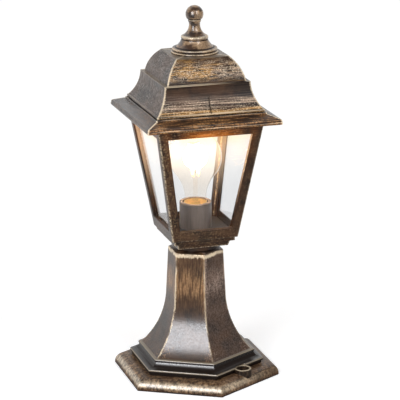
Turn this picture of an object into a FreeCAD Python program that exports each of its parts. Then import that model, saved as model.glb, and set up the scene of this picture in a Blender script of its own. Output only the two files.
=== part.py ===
"""Pedestal lantern: a square glazed lantern with a curved roof, on a six-sided flared column and foot.

Millimetres, +Z up. The origin is on the ground under the middle of the foot, and the front pane faces -Y.
"""
import FreeCAD
import Part
import math
import os

V = FreeCAD.Vector

# Foot
foot_flats = 168.8
foot_height = 13.2
foot_shoulder = 11.4
foot_wall = 3.5
cable_hole_radius = 24.0
boss_edge = 12.4            # from the axis of a fixing boss to the flat of the foot
boss_radius = 9.6
boss_height = 18.6
boss_angles = (-60.0, 120.0)
fixing_hole_radius = 2.75
fixing_head_radius = 7.3
fixing_seat = 5.0

# Column and the moulding round its foot
foot_margin = 16.0          # foot that shows outside the moulding
column_height = 134.0
column_top_flats = 56.0
column_waist_flats = 60.8
column_straight = 51.0      # straight taper above the flare
column_flare = 105.0
column_wall = 3.0
column_top_wall = 4.0
column_top_round = 1.5
shadow_height = 3.2
shadow_depth = 1.8
band_height = 2.6
band_round = 1.2
cove_radius = 8.4
cove_height = 6.2
bead_height = 3.2
bead_radius = 1.9
bead_setback = 3.0
boss_gap = 0.3              # column moulding to fixing boss

# Screws that hold the column to the foot
column_screw_inset = 8.4    # screw axis inside the moulding's flats
column_screw_angles = (30.0, 150.0, 270.0)
column_screw_radius = 1.7
column_screw_length = 13.0
column_screw_boss = 5.5
column_screw_boss_height = 14.0

# Neck collar between column and lantern
collar_radius = 27.5
collar_height = 5.0
collar_round = 1.4
collar_spigot_radius = 21.5
collar_gap = 3.0

# Threaded tube that clamps column, collar and lantern
tube_radius = 5.0
tube_bore = 3.8
tube_below_nut = 5.0
nut_flats = 17.0
nut_height = 4.0
washer_radius = 10.0
washer_height = 1.5

# Tray under the lantern
tray_low_flats = 58.6
tray_mid_flats = 63.0
tray_top_flats = 71.0
tray_low_height = 7.0
tray_top_height = 5.0
tray_wall = 3.5

# Cage: tapered frame that holds four panes
cage_bottom_flats = 77.2
cage_top_flats = 122.2
cage_height = 134.0
cage_wall = 3.2
cage_corner_round = 2.4
post_width = 10.8
sill_height = 12.4
head_height = 11.0
window_chamfer = 1.2
floor_height = 5.0          # lamp floor above the cage's lower edge
floor_thickness = 1.5
pane_thickness = 2.0
channel_lip = 2.0
channel_web = 1.6           # solid corner between the edges of two panes

# Lamp holder and bulb
holder_radius = 18.2
holder_bore = 14.3
holder_height = 30.0
holder_base = 4.0
holder_shell_thickness = 0.55
contact_height = 1.4
cap_radius = 13.1
cap_height = 24.0
cap_wall = 0.6
insulator_height = 2.4
button_height = 1.0
button_radius = 4.6
bulb_radius = 30.0
bulb_neck_radius = 12.3
bulb_neck_fillet = 45.0
bulb_height = 106.0         # from the contact button to the top of the glass
bulb_wall = 0.8
stem_height = 32.0          # above the bulb's cap
stem_radius = 2.6
filament_length = 37.0
filament_radius = 0.9
filament_count = 4
filament_low_radius = 4.2   # lower ends of the filaments from the axis
filament_high_radius = 8.5
support_radius = 0.4

# Eave frame on top of the cage
eave_overhang = 15.9
eave_height = 12.4          # from the cage to the seat of the roof
eave_rim_height = 6.2
eave_rim_lift = 1.4         # rim above the frame's underside
eave_groove = 0.8
eave_lip_height = 1.0
eave_lip_width = 1.4
eave_ledge = 4.0
eave_seat_cover = 2.6
eave_rim_wall = 3.0
eave_skin = 2.6
eave_screw_radius = 1.5
eave_screw_length = 9.0
eave_screw_boss = 4.0
eave_screw_boss_height = 12.0
eave_opening_margin = 1.2

# Roof
roof_overhang = 0.7         # bead of the roof beyond the top of the cage
roof_height = 59.2
roof_wall = 2.6
roof_shadow_height = 1.1
roof_shadow_depth = 1.7
roof_bead_height = 2.2
roof_flare_inset = 1.3
roof_flare = 48.0
roof_step_height = 32.9     # from the roof's lower edge to the ledge
roof_step_flats = 98.4
roof_step_depth = 3.9
roof_dome = 44.0
roof_cap_flats = 60.2
roof_seam_width = 0.8       # mould seam up the middle of the front and back
roof_seam_depth = 0.5
roof_seam_height = 17.0
gasket_height = 1.0
gasket_margin = 0.4

# Strap, nut and captive screw of the finial
strap_width = 16.0
strap_thickness = 2.0
strap_screw_radius = 1.7
stud_radius = 3.0
stud_thread = 7.0           # length of screw inside the nut
stud_in_finial = 14.0
roof_nut_flats = 10.0
roof_nut_height = 8.0
clip_drop = 10.0            # clip below the roof's inner top, which frees the screw from the nut
clip_thickness = 0.8
clip_radius = 6.0
seal_radius = 13.0
seal_bore = 8.0
seal_height = 1.0

# Finial, by the height of each feature above the roof
finial_base_radius = 26.3
finial_base_height = 2.2
finial_ring_radius = 25.2
finial_ring_height = 2.2
finial_base_groove = 1.4
finial_groove = 0.8
finial_bell_foot = 22.6     # bell where it leaves the ring under it
finial_bell_radius = 19.0
finial_cove_radius = 14.0
finial_disc_radius = 15.2
finial_disc_step = 0.7
finial_disc_height = 3.4
finial_disc_level = 15.9
finial_neck_radius = 6.2
finial_neck_level = 30.6
finial_collar_radius = 7.3
finial_collar_level = 35.4
finial_collar_height = 1.9
ball_radius = 9.9
ball_level = 42.9

# Terminals and wires inside the column
block_length = 32.0
block_width = 16.0
block_height = 14.0
block_clearance = 1.0       # terminal block to the column's inner wall
block_pitch = 10.0
block_hole_radius = 2.0
wire_radius = 1.2
wire_spread = 1.6           # live and neutral wires from the axis inside the tube
earth_inset = 26.4          # earth screw inside the moulding's flats
earth_angle = 141.8
earth_screw_radius = 2.0
earth_screw_height = 6.0
earth_loop = 9.0            # free turn of the earth wire
# Bends of a mains wire, as shares of the way in to the axis, up to the tube and across to its bore
wire_bends = ((0.32, 0.02, 0.0), (0.62, 0.13, 0.25), (0.86, 0.34, 0.7), (1.0, 0.64, 1.0))
wire_bend_share = 0.45      # part of the shorter run that a bend takes up

# Clearances
thread_gap = 0.05           # screw in its own thread
free_gap = 0.3              # pieces that pass each other
slide_gap = 0.2             # panes and plates in their seats

# Shape of a round screw head, as ratios of the screw's radius and of the head's
pan_head_ratio = 1.75
pan_head_height_ratio = 1.3
pan_crown_ratio = 2.2
pan_slot_ratio = 0.5

# Levels
foot_web = foot_height - foot_wall
column_top = foot_height + column_height
cage_base = column_top + collar_gap + collar_height
tray_step = cage_base + tray_low_height
fascia = tray_step + tray_top_height
cage_top = fascia + cage_height
floor_top = fascia + floor_height
sill = fascia + sill_height
head = cage_top - head_height
holder_floor = floor_top + holder_base
roof_seat = cage_top + eave_height
roof_base = roof_seat + gasket_height
roof_top = roof_base + roof_height
bulb_base = holder_floor + contact_height + slide_gap
cap_top = bulb_base + cap_height
ledge_top = cage_top + eave_ledge
strap_top = ledge_top + strap_thickness

# Half widths that several pieces share
moulding_half = foot_flats / 2 - foot_margin
fixing_circle = foot_flats / 2 - boss_edge
cage_taper = (cage_top_flats - cage_bottom_flats) / 2 / cage_height
channel_width = pane_thickness + slide_gap
channel_inset = cage_wall + channel_width
roof_bead_half = cage_top_flats / 2 + roof_overhang
roof_skirt_half = roof_bead_half - roof_shadow_depth
eave_half = cage_top_flats / 2 + eave_overhang
eave_screw_place = cage_top_flats / 2 - channel_inset - eave_screw_boss - free_gap
eave_screw_head = eave_screw_radius * pan_head_ratio
eave_opening = eave_screw_place - eave_screw_head - eave_opening_margin
ledge_half = roof_skirt_half - roof_wall - gasket_margin
strap_screw_place = (eave_opening + ledge_half) / 2
tube_low = column_top - column_top_wall - washer_height - nut_height - tube_below_nut

# Moulding and flare of the column, with the flare's ends as (half width, level)
band_top = foot_height + shadow_height + band_height + band_round
cove_top = band_top + cove_height
cove_half = moulding_half - band_round - cove_radius
flare_low = (cove_half - bead_setback, cove_top + bead_height)
flare_high = (column_waist_flats / 2, column_top - column_straight)


class Outline:
    """Half of a section in the XZ plane, drawn from a first point by lines and arcs."""

    def __init__(self, x, z):
        self.first = (x, z)
        self.last = (x, z)
        self.edges = []

    def to(self, x, z):
        self.edges.append(Part.LineSegment(V(self.last[0], 0, self.last[1]), V(x, 0, z)).toShape())
        self.last = (x, z)
        return self

    def curve(self, x, z, radius):
        """An arc to (x, z): seen going up, a positive radius swells outwards and a negative one is hollow."""
        mid = arc_middle(self.last, (x, z), radius)
        start = V(self.last[0], 0, self.last[1])
        self.edges.append(Part.Arc(start, V(mid[0], 0, mid[1]), V(x, 0, z)).toShape())
        self.last = (x, z)
        return self

    def turned(self):
        """The solid of revolution of this outline, closed along the axis."""
        if self.last[0] > 0:
            self.to(0, self.last[1])
        if self.first[0] > 0:
            start = (0, self.first[1])
            self.edges.append(Part.LineSegment(V(0, 0, start[1]), V(self.first[0], 0, start[1])).toShape())
            self.first = start
        self.to(*self.first)
        return self.face().revolve(V(0, 0, 0), V(0, 0, 1), 360)

    def sided(self, sides):
        """The body whose every side follows this outline, mitred at the corners."""
        edges = list(self.edges)
        edges += [edge.mirror(V(0, 0, 0), V(1, 0, 0)) for edge in self.edges]
        for x, z in (self.first, self.last):
            edges.append(Part.LineSegment(V(-x, 0, z), V(x, 0, z)).toShape())
        reach = 4 * max(edge.BoundBox.XMax for edge in edges)
        slab = Part.Face(Part.Wire(Part.__sortEdges__(edges))).extrude(V(0, reach, 0))
        slab.translate(V(0, -reach / 2, 0))
        body = slab
        for number in range(1, sides // 2):
            body = body.common(turn(slab, 360.0 / sides * number))
        return body

    def face(self):
        return Part.Face(Part.Wire(Part.__sortEdges__(self.edges)))


def arc_middle(start, end, radius):
    """The middle of the short arc of that signed radius between two points of an outline."""
    run = (end[0] - start[0], end[1] - start[1])
    length = math.hypot(*run)
    rise = abs(radius) - math.sqrt(radius ** 2 - (length / 2) ** 2)
    rise = math.copysign(rise, radius)
    return (
        (start[0] + end[0]) / 2 + run[1] / length * rise,
        (start[1] + end[1]) / 2 - run[0] / length * rise,
    )


def arc_centre(start, end, radius):
    """The centre of the arc that Outline.curve draws between those points."""
    mid = arc_middle(start, end, radius)
    run = (end[0] - start[0], end[1] - start[1])
    length = math.hypot(*run)
    return mid[0] - run[1] / length * radius, mid[1] + run[0] / length * radius


def inside_arc(centre, radius, z):
    """How far out an arc's inner offset lies at height z: the same centre, with the wall's radius."""
    reach = math.sqrt(radius ** 2 - (z - centre[1]) ** 2)
    return centre[0] + math.copysign(reach, radius)


def turn(shape, degrees):
    copy = shape.copy()
    copy.rotate(V(0, 0, 0), V(0, 0, 1), degrees)
    return copy


def moved(shape, x, y, z):
    copy = shape.copy()
    copy.translate(V(x, y, z))
    return copy


def round_bar(radius, z0, z1, x=0.0, y=0.0):
    return Part.makeCylinder(radius, z1 - z0, V(x, y, z0))


def hex_bar(flats, z0, z1):
    corner = flats / 2 / math.cos(math.radians(30))
    points = [V(corner * math.cos(math.radians(a)), corner * math.sin(math.radians(a)), z0)
              for a in range(0, 361, 60)]
    return Part.Face(Part.makePolygon(points)).extrude(V(0, 0, z1 - z0))


def tapered(low, high):
    """A block between two level rectangles, each given as (x0, x1, y0, y1, z)."""
    wires = []
    for x0, x1, y0, y1, z in (low, high):
        wires.append(Part.makePolygon([V(x0, y0, z), V(x1, y0, z), V(x1, y1, z), V(x0, y1, z), V(x0, y0, z)]))
    return Part.makeLoft(wires, True, True)


def square_block(half_low, half_high, z0, z1):
    low = (-half_low, half_low, -half_low, half_low, z0)
    high = (-half_high, half_high, -half_high, half_high, z1)
    return tapered(low, high)


def polar(radius, degrees):
    return radius * math.cos(math.radians(degrees)), radius * math.sin(math.radians(degrees))


def pan_screw(radius, length):
    """A round-headed screw that points down, with the underside of its head at the origin."""
    head_radius = radius * pan_head_ratio
    head_height = radius * pan_head_height_ratio
    slot_width = radius * pan_slot_ratio
    head = Outline(head_radius, 0).to(head_radius, head_height / 2)
    head.curve(0, head_height, head_radius * pan_crown_ratio)
    corner = V(-head_radius, -slot_width / 2, head_height / 2)
    slot = Part.makeBox(2 * head_radius, slot_width, head_height, corner)
    return head.turned().fuse(round_bar(radius, -length, 0)).cut(slot).removeSplitter()


def upward(shape):
    """The same shape turned to point up."""
    copy = shape.copy()
    copy.rotate(V(0, 0, 0), V(1, 0, 0), 180)
    return copy


def tube_along(points, radius):
    """A round wire along straight runs joined by tangent arcs as large as the runs allow."""
    points = [V(*point) for point in points]
    edges = []
    last = points[0]
    for before, corner, after in zip(points, points[1:], points[2:]):
        back = before - corner
        ahead = after - corner
        cut = wire_bend_share * min(back.Length, ahead.Length)
        back.normalize()
        ahead.normalize()
        half_open = back.getAngle(ahead) / 2
        bisector = back + ahead
        bisector.normalize()
        bend = cut * math.tan(half_open)
        middle = corner + bisector * (bend / math.sin(half_open) - bend)
        enter = corner + back * cut
        leave = corner + ahead * cut
        edges.append(Part.LineSegment(last, enter).toShape())
        edges.append(Part.Arc(enter, middle, leave).toShape())
        last = leave
    edges.append(Part.LineSegment(last, points[-1]).toShape())
    path = Part.Wire(edges)
    section = Part.Wire([Part.makeCircle(radius, points[0], points[1] - points[0])])
    return path.makePipeShell([section], True, True)


def runs_up_corner(edge, sides):
    """True for an edge that climbs a corner of a body with that many sides."""
    ends = [vertex.Point for vertex in edge.Vertexes]
    mid = (ends[0] + ends[-1]) * 0.5
    bearing = math.degrees(math.atan2(mid.y, mid.x)) % (360.0 / sides)
    slack = 0.5
    return abs(bearing - 180.0 / sides) < slack and abs(ends[0].z - ends[-1].z) > slack


def column_room(z):
    """How far from the axis the inner wall of the column's flare lies at a height."""
    centre = arc_centre(flare_low, flare_high, -column_flare)
    return inside_arc(centre, -(column_flare + column_wall), z)


# Places in the column that follow its inner wall: the terminal block stands in the corner towards +Y
block_room = column_room(max(flare_low[1], foot_height + block_height)) - block_clearance
block_offset = (block_room - block_length / 4) / math.cos(math.radians(30)) - block_width / 2
earth_place = polar(moulding_half - earth_inset, earth_angle)


def column_screw_places():
    return [polar(moulding_half - column_screw_inset, angle) for angle in column_screw_angles]


def eave_screw_places():
    offsets = (-eave_screw_place, eave_screw_place)
    return [(x, y) for x in offsets for y in offsets]


def make_foot():
    half = foot_flats / 2
    rim = foot_height - foot_shoulder
    outer = Outline(half, 0).to(half, rim).curve(half - foot_shoulder, foot_height, foot_shoulder).sided(6)
    inner_round = foot_shoulder - foot_wall
    hollow = Outline(half - foot_wall, 0).to(half - foot_wall, rim)
    hollow.curve(half - foot_shoulder, foot_web, inner_round)
    foot = outer.cut(hollow.sided(6))
    for angle in boss_angles:
        x, y = polar(fixing_circle, angle)
        foot = foot.fuse(round_bar(boss_radius, 0, boss_height, x, y))
    for angle in boss_angles:
        x, y = polar(fixing_circle, angle)
        foot = foot.cut(round_bar(fixing_head_radius, fixing_seat, boss_height, x, y))
        foot = foot.cut(round_bar(fixing_hole_radius, 0, fixing_seat, x, y))
    foot = foot.cut(round_bar(cable_hole_radius, 0, foot_height))
    for x, y in column_screw_places():
        foot = foot.cut(round_bar(column_screw_radius + free_gap, 0, foot_height, x, y))
    for x, y in (earth_place, (block_pitch / 2, block_offset)):
        foot = foot.cut(round_bar(earth_screw_radius + thread_gap, 0, foot_height, x, y))
    return foot.removeSplitter()


def make_column():
    """From the foot up: shadow gap, band, cove and bead of the moulding, hollow flare and straight taper."""
    shadow_half = moulding_half - shadow_depth
    shadow_top = foot_height + shadow_height
    top = column_top_flats / 2
    waist, waist_level = flare_high
    line = Outline(shadow_half, foot_height).to(shadow_half, shadow_top).to(moulding_half, shadow_top)
    line.to(moulding_half, band_top - band_round).curve(moulding_half - band_round, band_top, band_round)
    line.curve(cove_half, cove_top, -cove_radius).curve(cove_half, cove_top + bead_height, bead_radius)
    line.to(*flare_low).curve(waist, waist_level, -column_flare)
    line.to(top, column_top - column_top_round).curve(top - column_top_round, column_top, column_top_round)
    outer = line.sided(6)

    low_half = shadow_half - column_wall
    inner = Outline(low_half, foot_height).to(low_half, shadow_top + column_wall / 2)
    inner.to(column_room(flare_low[1]), flare_low[1])
    inner.curve(column_room(waist_level), waist_level, -(column_flare + column_wall))
    inner.to(top - column_wall, column_top - column_top_wall)
    column = outer.cut(inner.sided(6))

    for x, y in column_screw_places():
        boss = round_bar(column_screw_boss, foot_height, foot_height + column_screw_boss_height, x, y)
        column = column.fuse(boss.common(outer))
    for x, y in column_screw_places():
        hole_top = foot_height + column_screw_length - foot_wall
        column = column.cut(round_bar(column_screw_radius + thread_gap, foot_height, hole_top, x, y))
    pocket = boss_radius + boss_gap
    for angle in boss_angles:
        x, y = polar(fixing_circle, angle)
        wall = round_bar(pocket + column_wall, foot_height, band_top + column_wall, x, y)
        column = column.fuse(wall.common(outer))
    for angle in boss_angles:
        x, y = polar(fixing_circle, angle)
        column = column.cut(round_bar(pocket, foot_height, band_top, x, y))
    return column.cut(round_bar(tube_radius + free_gap, foot_height, column_top)).removeSplitter()


def make_column_screws():
    screw = upward(pan_screw(column_screw_radius, column_screw_length))
    return Part.makeCompound([moved(screw, x, y, foot_web) for x, y in column_screw_places()])


def make_neck_collar():
    low = column_top + collar_gap
    line = Outline(collar_spigot_radius, column_top).to(collar_spigot_radius, low)
    line.to(collar_radius - collar_round, low).curve(collar_radius, low + collar_round, collar_round)
    line.to(collar_radius, cage_base - collar_round)
    line.curve(collar_radius - collar_round, cage_base, collar_round)
    return line.turned().cut(round_bar(tube_radius + free_gap, column_top, cage_base))


def make_threaded_tube():
    return round_bar(tube_radius, tube_low, holder_floor).cut(round_bar(tube_bore, tube_low, holder_floor))


def make_nut(z):
    return hex_bar(nut_flats, z, z + nut_height).cut(round_bar(tube_radius + thread_gap, z, z + nut_height))


def make_lower_nut():
    return make_nut(column_top - column_top_wall - washer_height - nut_height)


def make_upper_nut():
    return make_nut(cage_base + tray_wall)


def make_lower_washer():
    top = column_top - column_top_wall
    return round_bar(washer_radius, top - washer_height, top).cut(round_bar(tube_radius + slide_gap, 0, top))


def cage_half(z):
    return cage_bottom_flats / 2 + cage_taper * (z - fascia)


def cage_core(inset, z0, z1):
    """The tapered block that lies a level inset inside the faces of the cage."""
    return square_block(cage_half(z0) - inset, cage_half(z1) - inset, z0, z1)


def cage_middle(inset, z0, z1):
    """A tapered slab along Y that stays that inset inside the left and right faces of the cage."""
    far = cage_top_flats
    low = cage_half(z0) - inset
    high = cage_half(z1) - inset
    return tapered((-low, low, -far, far, z0), (-high, high, -far, far, z1))


def cage_corners(shape, inset, z0, z1):
    """What is left of a shape when the middles of all four sides are cut away."""
    middle = cage_middle(inset, z0, z1)
    return shape.cut(middle).cut(turn(middle, 90))


def on_window_edge(edge):
    """True for the edges of the windows on the cage's outer faces."""
    ends = [vertex.Point for vertex in edge.Vertexes]
    slack = 0.05
    for point in ends:
        across, along = sorted((abs(point.x), abs(point.y)))
        if abs(along - cage_half(point.z)) > slack or across > cage_half(point.z) - post_width + slack:
            return False
        if not sill - slack < point.z < head + slack:
            return False
    return True


def make_cage():
    shell = cage_core(0, fascia, cage_top)
    shell = shell.makeFillet(cage_corner_round, [e for e in shell.Edges if runs_up_corner(e, 4)])
    shell = shell.cut(cage_core(cage_wall, floor_top - floor_thickness, cage_top))
    window = cage_middle(post_width, sill, head)
    window = window.cut(square_block(cage_bottom_flats / 4, cage_bottom_flats / 4, sill, head))
    shell = shell.cut(window).cut(turn(window, 90))
    shell = shell.makeChamfer(window_chamfer, [e for e in shell.Edges if on_window_edge(e)])

    corner = cage_core(cage_wall, floor_top, cage_top)
    corner = cage_corners(corner, channel_inset + channel_web, floor_top, cage_top)
    lip_inset = channel_inset + channel_lip
    lips = cage_core(channel_inset, floor_top, cage_top).cut(cage_core(lip_inset, floor_top, cage_top))
    cage = shell.fuse(corner).fuse(cage_corners(lips, post_width, floor_top, cage_top))

    boss_low = cage_top - eave_screw_boss_height
    room = cage_core(channel_inset, boss_low, cage_top)
    for x, y in eave_screw_places():
        cage = cage.fuse(round_bar(eave_screw_boss, boss_low, cage_top, x, y).common(room))
    for x, y in eave_screw_places():
        hole_low = cage_top + eave_ledge - eave_screw_length
        cage = cage.cut(round_bar(eave_screw_radius + thread_gap, hole_low, cage_top, x, y))

    tray = square_block(tray_low_flats / 2, tray_mid_flats / 2, cage_base, tray_step)
    tray = tray.fuse(square_block(tray_top_flats / 2, tray_top_flats / 2, tray_step, fascia))
    cage = cage.fuse(tray)
    low_half = tray_low_flats / 2 - tray_wall
    high_half = tray_top_flats / 2 - tray_wall
    cage = cage.cut(square_block(low_half, low_half, cage_base + tray_wall, floor_top))
    cage = cage.cut(square_block(high_half, high_half, tray_step + tray_wall, floor_top))
    return cage.cut(round_bar(tube_radius + free_gap, cage_base, floor_top)).removeSplitter()


def make_floor_plate():
    low = floor_top - floor_thickness
    plate = cage_core(cage_wall + slide_gap, low, floor_top)
    return plate.cut(round_bar(tube_radius + free_gap, low, floor_top))


def make_pane(angle):
    z0 = floor_top
    z1 = cage_top - slide_gap
    reach = channel_inset + channel_web + slide_gap
    rows = []
    for z in (z0, z1):
        outer = cage_half(z) - cage_wall - slide_gap / 2
        wide = cage_half(z) - reach
        rows.append((-wide, wide, -outer, pane_thickness - outer, z))
    return turn(tapered(*rows), angle)


def make_lamp_holder():
    top = floor_top + holder_height
    rim_round = (holder_radius - holder_bore) / 4
    line = Outline(holder_radius, floor_top).to(holder_radius, top - rim_round)
    line.curve(holder_radius - rim_round, top, rim_round)
    body = line.turned().cut(round_bar(holder_bore, holder_floor, top))
    return body.cut(round_bar(tube_radius + thread_gap, floor_top, holder_floor))


def make_holder_shell():
    outer = holder_bore - slide_gap
    top = floor_top + holder_height - holder_base
    shell = round_bar(outer, holder_floor, top)
    return shell.cut(round_bar(outer - holder_shell_thickness, holder_floor, top))


def make_holder_contact():
    """A sprung tongue that bridges the tube's end and meets the bulb's contact button."""
    length = 2 * (tube_radius + wire_radius)
    width = button_radius
    plate = Part.makeBox(length, width, contact_height / 2, V(-length / 2, -width / 2, holder_floor))
    low = holder_floor + contact_height / 2
    return plate.fuse(round_bar(width / 2, low, holder_floor + contact_height)).removeSplitter()


def make_bulb_button():
    top = bulb_base + button_height
    return Outline(button_radius / 2, bulb_base).to(button_radius, bulb_base + button_height / 2).to(
        button_radius, top).turned()


def make_bulb_insulator():
    low = bulb_base + button_height
    return Outline(button_radius, low).to(cap_radius - 2 * cap_wall, low + insulator_height).turned()


def make_bulb_cap():
    low = bulb_base + button_height + insulator_height
    floor = low + cap_wall
    cap = Outline(cap_radius - 2 * cap_wall, low).to(cap_radius, low + 2 * cap_wall).to(cap_radius, cap_top)
    return cap.turned().cut(round_bar(cap_radius - cap_wall, floor + cap_wall, cap_top))


def bulb_outline(inset, low):
    """The bulb's glass: a straight neck, a hollow fillet and a ball, all moved in by the inset."""
    neck = bulb_neck_radius - inset
    ball = bulb_radius - inset
    fillet = bulb_neck_fillet + inset
    ball_centre = bulb_base + bulb_height - bulb_radius
    drop = math.sqrt((ball + fillet) ** 2 - (neck + fillet) ** 2)
    share = ball / (ball + fillet)
    line = Outline(neck, low).to(neck, ball_centre - drop)
    line.curve((neck + fillet) * share, ball_centre - drop * share, -fillet)
    return line.curve(0, ball_centre + ball, ball)


def make_bulb_glass():
    low = cap_top - cap_height / 3
    return bulb_outline(0, low).turned().cut(bulb_outline(bulb_wall, low).turned())


def stem_top():
    return cap_top + stem_height


def make_bulb_stem():
    low = cap_top - cap_height / 3
    flare = bulb_neck_radius - bulb_wall - slide_gap
    line = Outline(flare, low).to(flare, low + bulb_wall)
    line.curve(stem_radius, cap_top + bulb_neck_radius / 2, -bulb_neck_radius)
    line.to(stem_radius, stem_top() - stem_radius).curve(0, stem_top(), stem_radius)
    return line.turned()


def filament_ends(number):
    angle = 360.0 / filament_count * number + 180.0 / filament_count
    level = stem_top() - stem_radius
    low = V(*polar(filament_low_radius, angle), level)
    high = V(*polar(filament_high_radius, angle), level + filament_length)
    return low, high


def make_bulb_filaments():
    sticks = []
    for number in range(filament_count):
        low, high = filament_ends(number)
        sticks.append(Part.makeCylinder(filament_radius, (high - low).Length, low, high - low))
    return Part.makeCompound(sticks)


def make_bulb_supports():
    """A wire mast out of the stem, with an arm to the upper end of each filament."""
    high_level = filament_ends(0)[1].z + filament_radius + support_radius
    frame = round_bar(support_radius, stem_top(), high_level)
    for number in range(filament_count):
        high = filament_ends(number)[1]
        tip = V(high.x, high.y, high_level)
        hub = V(0, 0, high_level)
        frame = frame.fuse(Part.makeCylinder(support_radius, (tip - hub).Length, hub, tip - hub))
    return frame.removeSplitter()


def make_eave_frame():
    rim_low = cage_top + eave_rim_lift
    rim_high = rim_low + eave_rim_height
    lip_half = roof_bead_half + eave_lip_width
    lip_top = roof_seat + eave_lip_height
    groove_level = (rim_low + rim_high) / 2
    half_bead = (rim_high - groove_level - eave_groove / 2) / 2
    line = Outline(eave_half - eave_groove, cage_top).to(eave_half - eave_groove, rim_low)
    line.to(eave_half, rim_low + eave_groove).to(eave_half, groove_level - eave_groove / 2)
    line.to(eave_half - eave_groove, groove_level)
    line.to(eave_half - eave_groove / 2, groove_level + eave_groove / 2)
    line.curve(eave_half - 2 * eave_groove, rim_high, 2 * half_bead)
    line.to(lip_half, roof_seat - eave_lip_height / 2)
    line.to(lip_half, lip_top - eave_lip_width / 4).to(lip_half - eave_lip_width / 4, lip_top)
    frame = line.sided(4)
    lip_inner = roof_bead_half + free_gap
    frame = frame.cut(square_block(lip_inner, lip_inner, roof_seat, lip_top))
    frame = frame.cut(square_block(ledge_half, ledge_half, ledge_top, lip_top))
    frame = frame.cut(square_block(eave_opening, eave_opening, cage_top, lip_top))
    seat_half = cage_top_flats / 2 + eave_seat_cover
    seat = square_block(seat_half, seat_half, cage_top, rim_low + eave_skin)
    frame = frame.cut(square_block(2 * eave_half, 2 * eave_half, cage_top, rim_low).cut(seat))
    recess_half = eave_half - eave_rim_wall
    recess_top = rim_low + eave_skin
    frame = frame.cut(square_block(recess_half, recess_half, rim_low, recess_top).cut(seat))
    for x, y in eave_screw_places():
        frame = frame.cut(round_bar(eave_screw_radius + slide_gap, cage_top, ledge_top, x, y))
    for x in (-strap_screw_place, strap_screw_place):
        frame = frame.cut(round_bar(strap_screw_radius + thread_gap, cage_top, ledge_top, x))
    return frame.removeSplitter()


def make_eave_screws():
    screw = pan_screw(eave_screw_radius, eave_screw_length)
    return Part.makeCompound([moved(screw, x, y, ledge_top) for x, y in eave_screw_places()])


def make_roof_strap():
    half = ledge_half - free_gap
    strap = Part.makeBox(2 * half, strap_width, strap_thickness, V(-half, -strap_width / 2, ledge_top))
    upright = [e for e in strap.Edges if abs(e.Vertexes[0].Z - e.Vertexes[1].Z) > strap_thickness / 2]
    strap = strap.makeFillet(strap_width / 5, upright)
    strap = strap.cut(round_bar(stud_radius + free_gap, ledge_top, strap_top))
    for x in (-strap_screw_place, strap_screw_place):
        strap = strap.cut(round_bar(strap_screw_radius + slide_gap, ledge_top, strap_top, x))
    return strap


def make_strap_screws():
    screw = pan_screw(strap_screw_radius, strap_thickness + eave_ledge)
    return Part.makeCompound([moved(screw, x, 0, strap_top) for x in (-strap_screw_place, strap_screw_place)])


def make_roof_nut():
    low = ledge_top - roof_nut_height
    return hex_bar(roof_nut_flats, low, ledge_top).cut(round_bar(stud_radius + free_gap, low, ledge_top))


def make_roof_gasket():
    outer = roof_skirt_half
    inner = roof_skirt_half - roof_wall
    ring = square_block(outer, outer, roof_seat, roof_base)
    return ring.cut(square_block(inner, inner, roof_seat, roof_base))


def roof_corners():
    """Foot and top of the roof's flare, then foot and top of its dome, as (half width, level)."""
    bead_high = roof_base + roof_shadow_height + roof_bead_height
    step = roof_base + roof_step_height
    step_half = roof_step_flats / 2
    return (
        (roof_bead_half - roof_flare_inset, bead_high),
        (step_half, step),
        (step_half - roof_step_depth, step),
        (roof_cap_flats / 2, roof_top),
    )


def roof_seam(flare_foot, flare_top):
    """Grooves that a mould's joint leaves up the front and back of the flare."""
    reach = roof_bead_half
    low = flare_foot[1]
    half_width = roof_seam_width / 2
    blade = Part.makeBox(roof_seam_width, 2 * reach, roof_seam_height, V(-half_width, -reach, low))
    core = Outline(flare_foot[0] - roof_seam_depth, low)
    core.curve(flare_top[0] - roof_seam_depth, flare_top[1], -roof_flare)
    return blade.cut(core.sided(4))


def make_roof():
    bead_low = roof_base + roof_shadow_height
    flare_foot, flare_top, dome_foot, dome_top = roof_corners()
    bead_high = flare_foot[1]
    line = Outline(roof_skirt_half, roof_base).to(roof_skirt_half, bead_low).to(roof_bead_half, bead_low)
    line.to(roof_bead_half, bead_high - roof_flare_inset).curve(*flare_foot, roof_flare_inset)
    line.curve(*flare_top, -roof_flare).to(*dome_foot).curve(*dome_top, roof_dome)
    outer = line.sided(4)

    flare_centre = arc_centre(flare_foot, flare_top, -roof_flare)
    dome_centre = arc_centre(dome_foot, dome_top, roof_dome)
    flare_wall = -(roof_flare + roof_wall)
    dome_wall = roof_dome - roof_wall
    step = flare_top[1] - roof_wall
    under = roof_top - roof_wall
    skirt = roof_skirt_half - roof_wall
    inner = Outline(skirt, roof_base).to(skirt, bead_low)
    inner.to(inside_arc(flare_centre, flare_wall, bead_high), bead_high)
    inner.curve(inside_arc(flare_centre, flare_wall, step), step, flare_wall)
    inner.to(inside_arc(dome_centre, dome_wall, step), step)
    inner.curve(inside_arc(dome_centre, dome_wall, under), under, dome_wall)
    roof = outer.cut(inner.sided(4)).cut(roof_seam(flare_foot, flare_top))
    return roof.cut(round_bar(stud_radius + free_gap, roof_base, roof_top)).removeSplitter()


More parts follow.
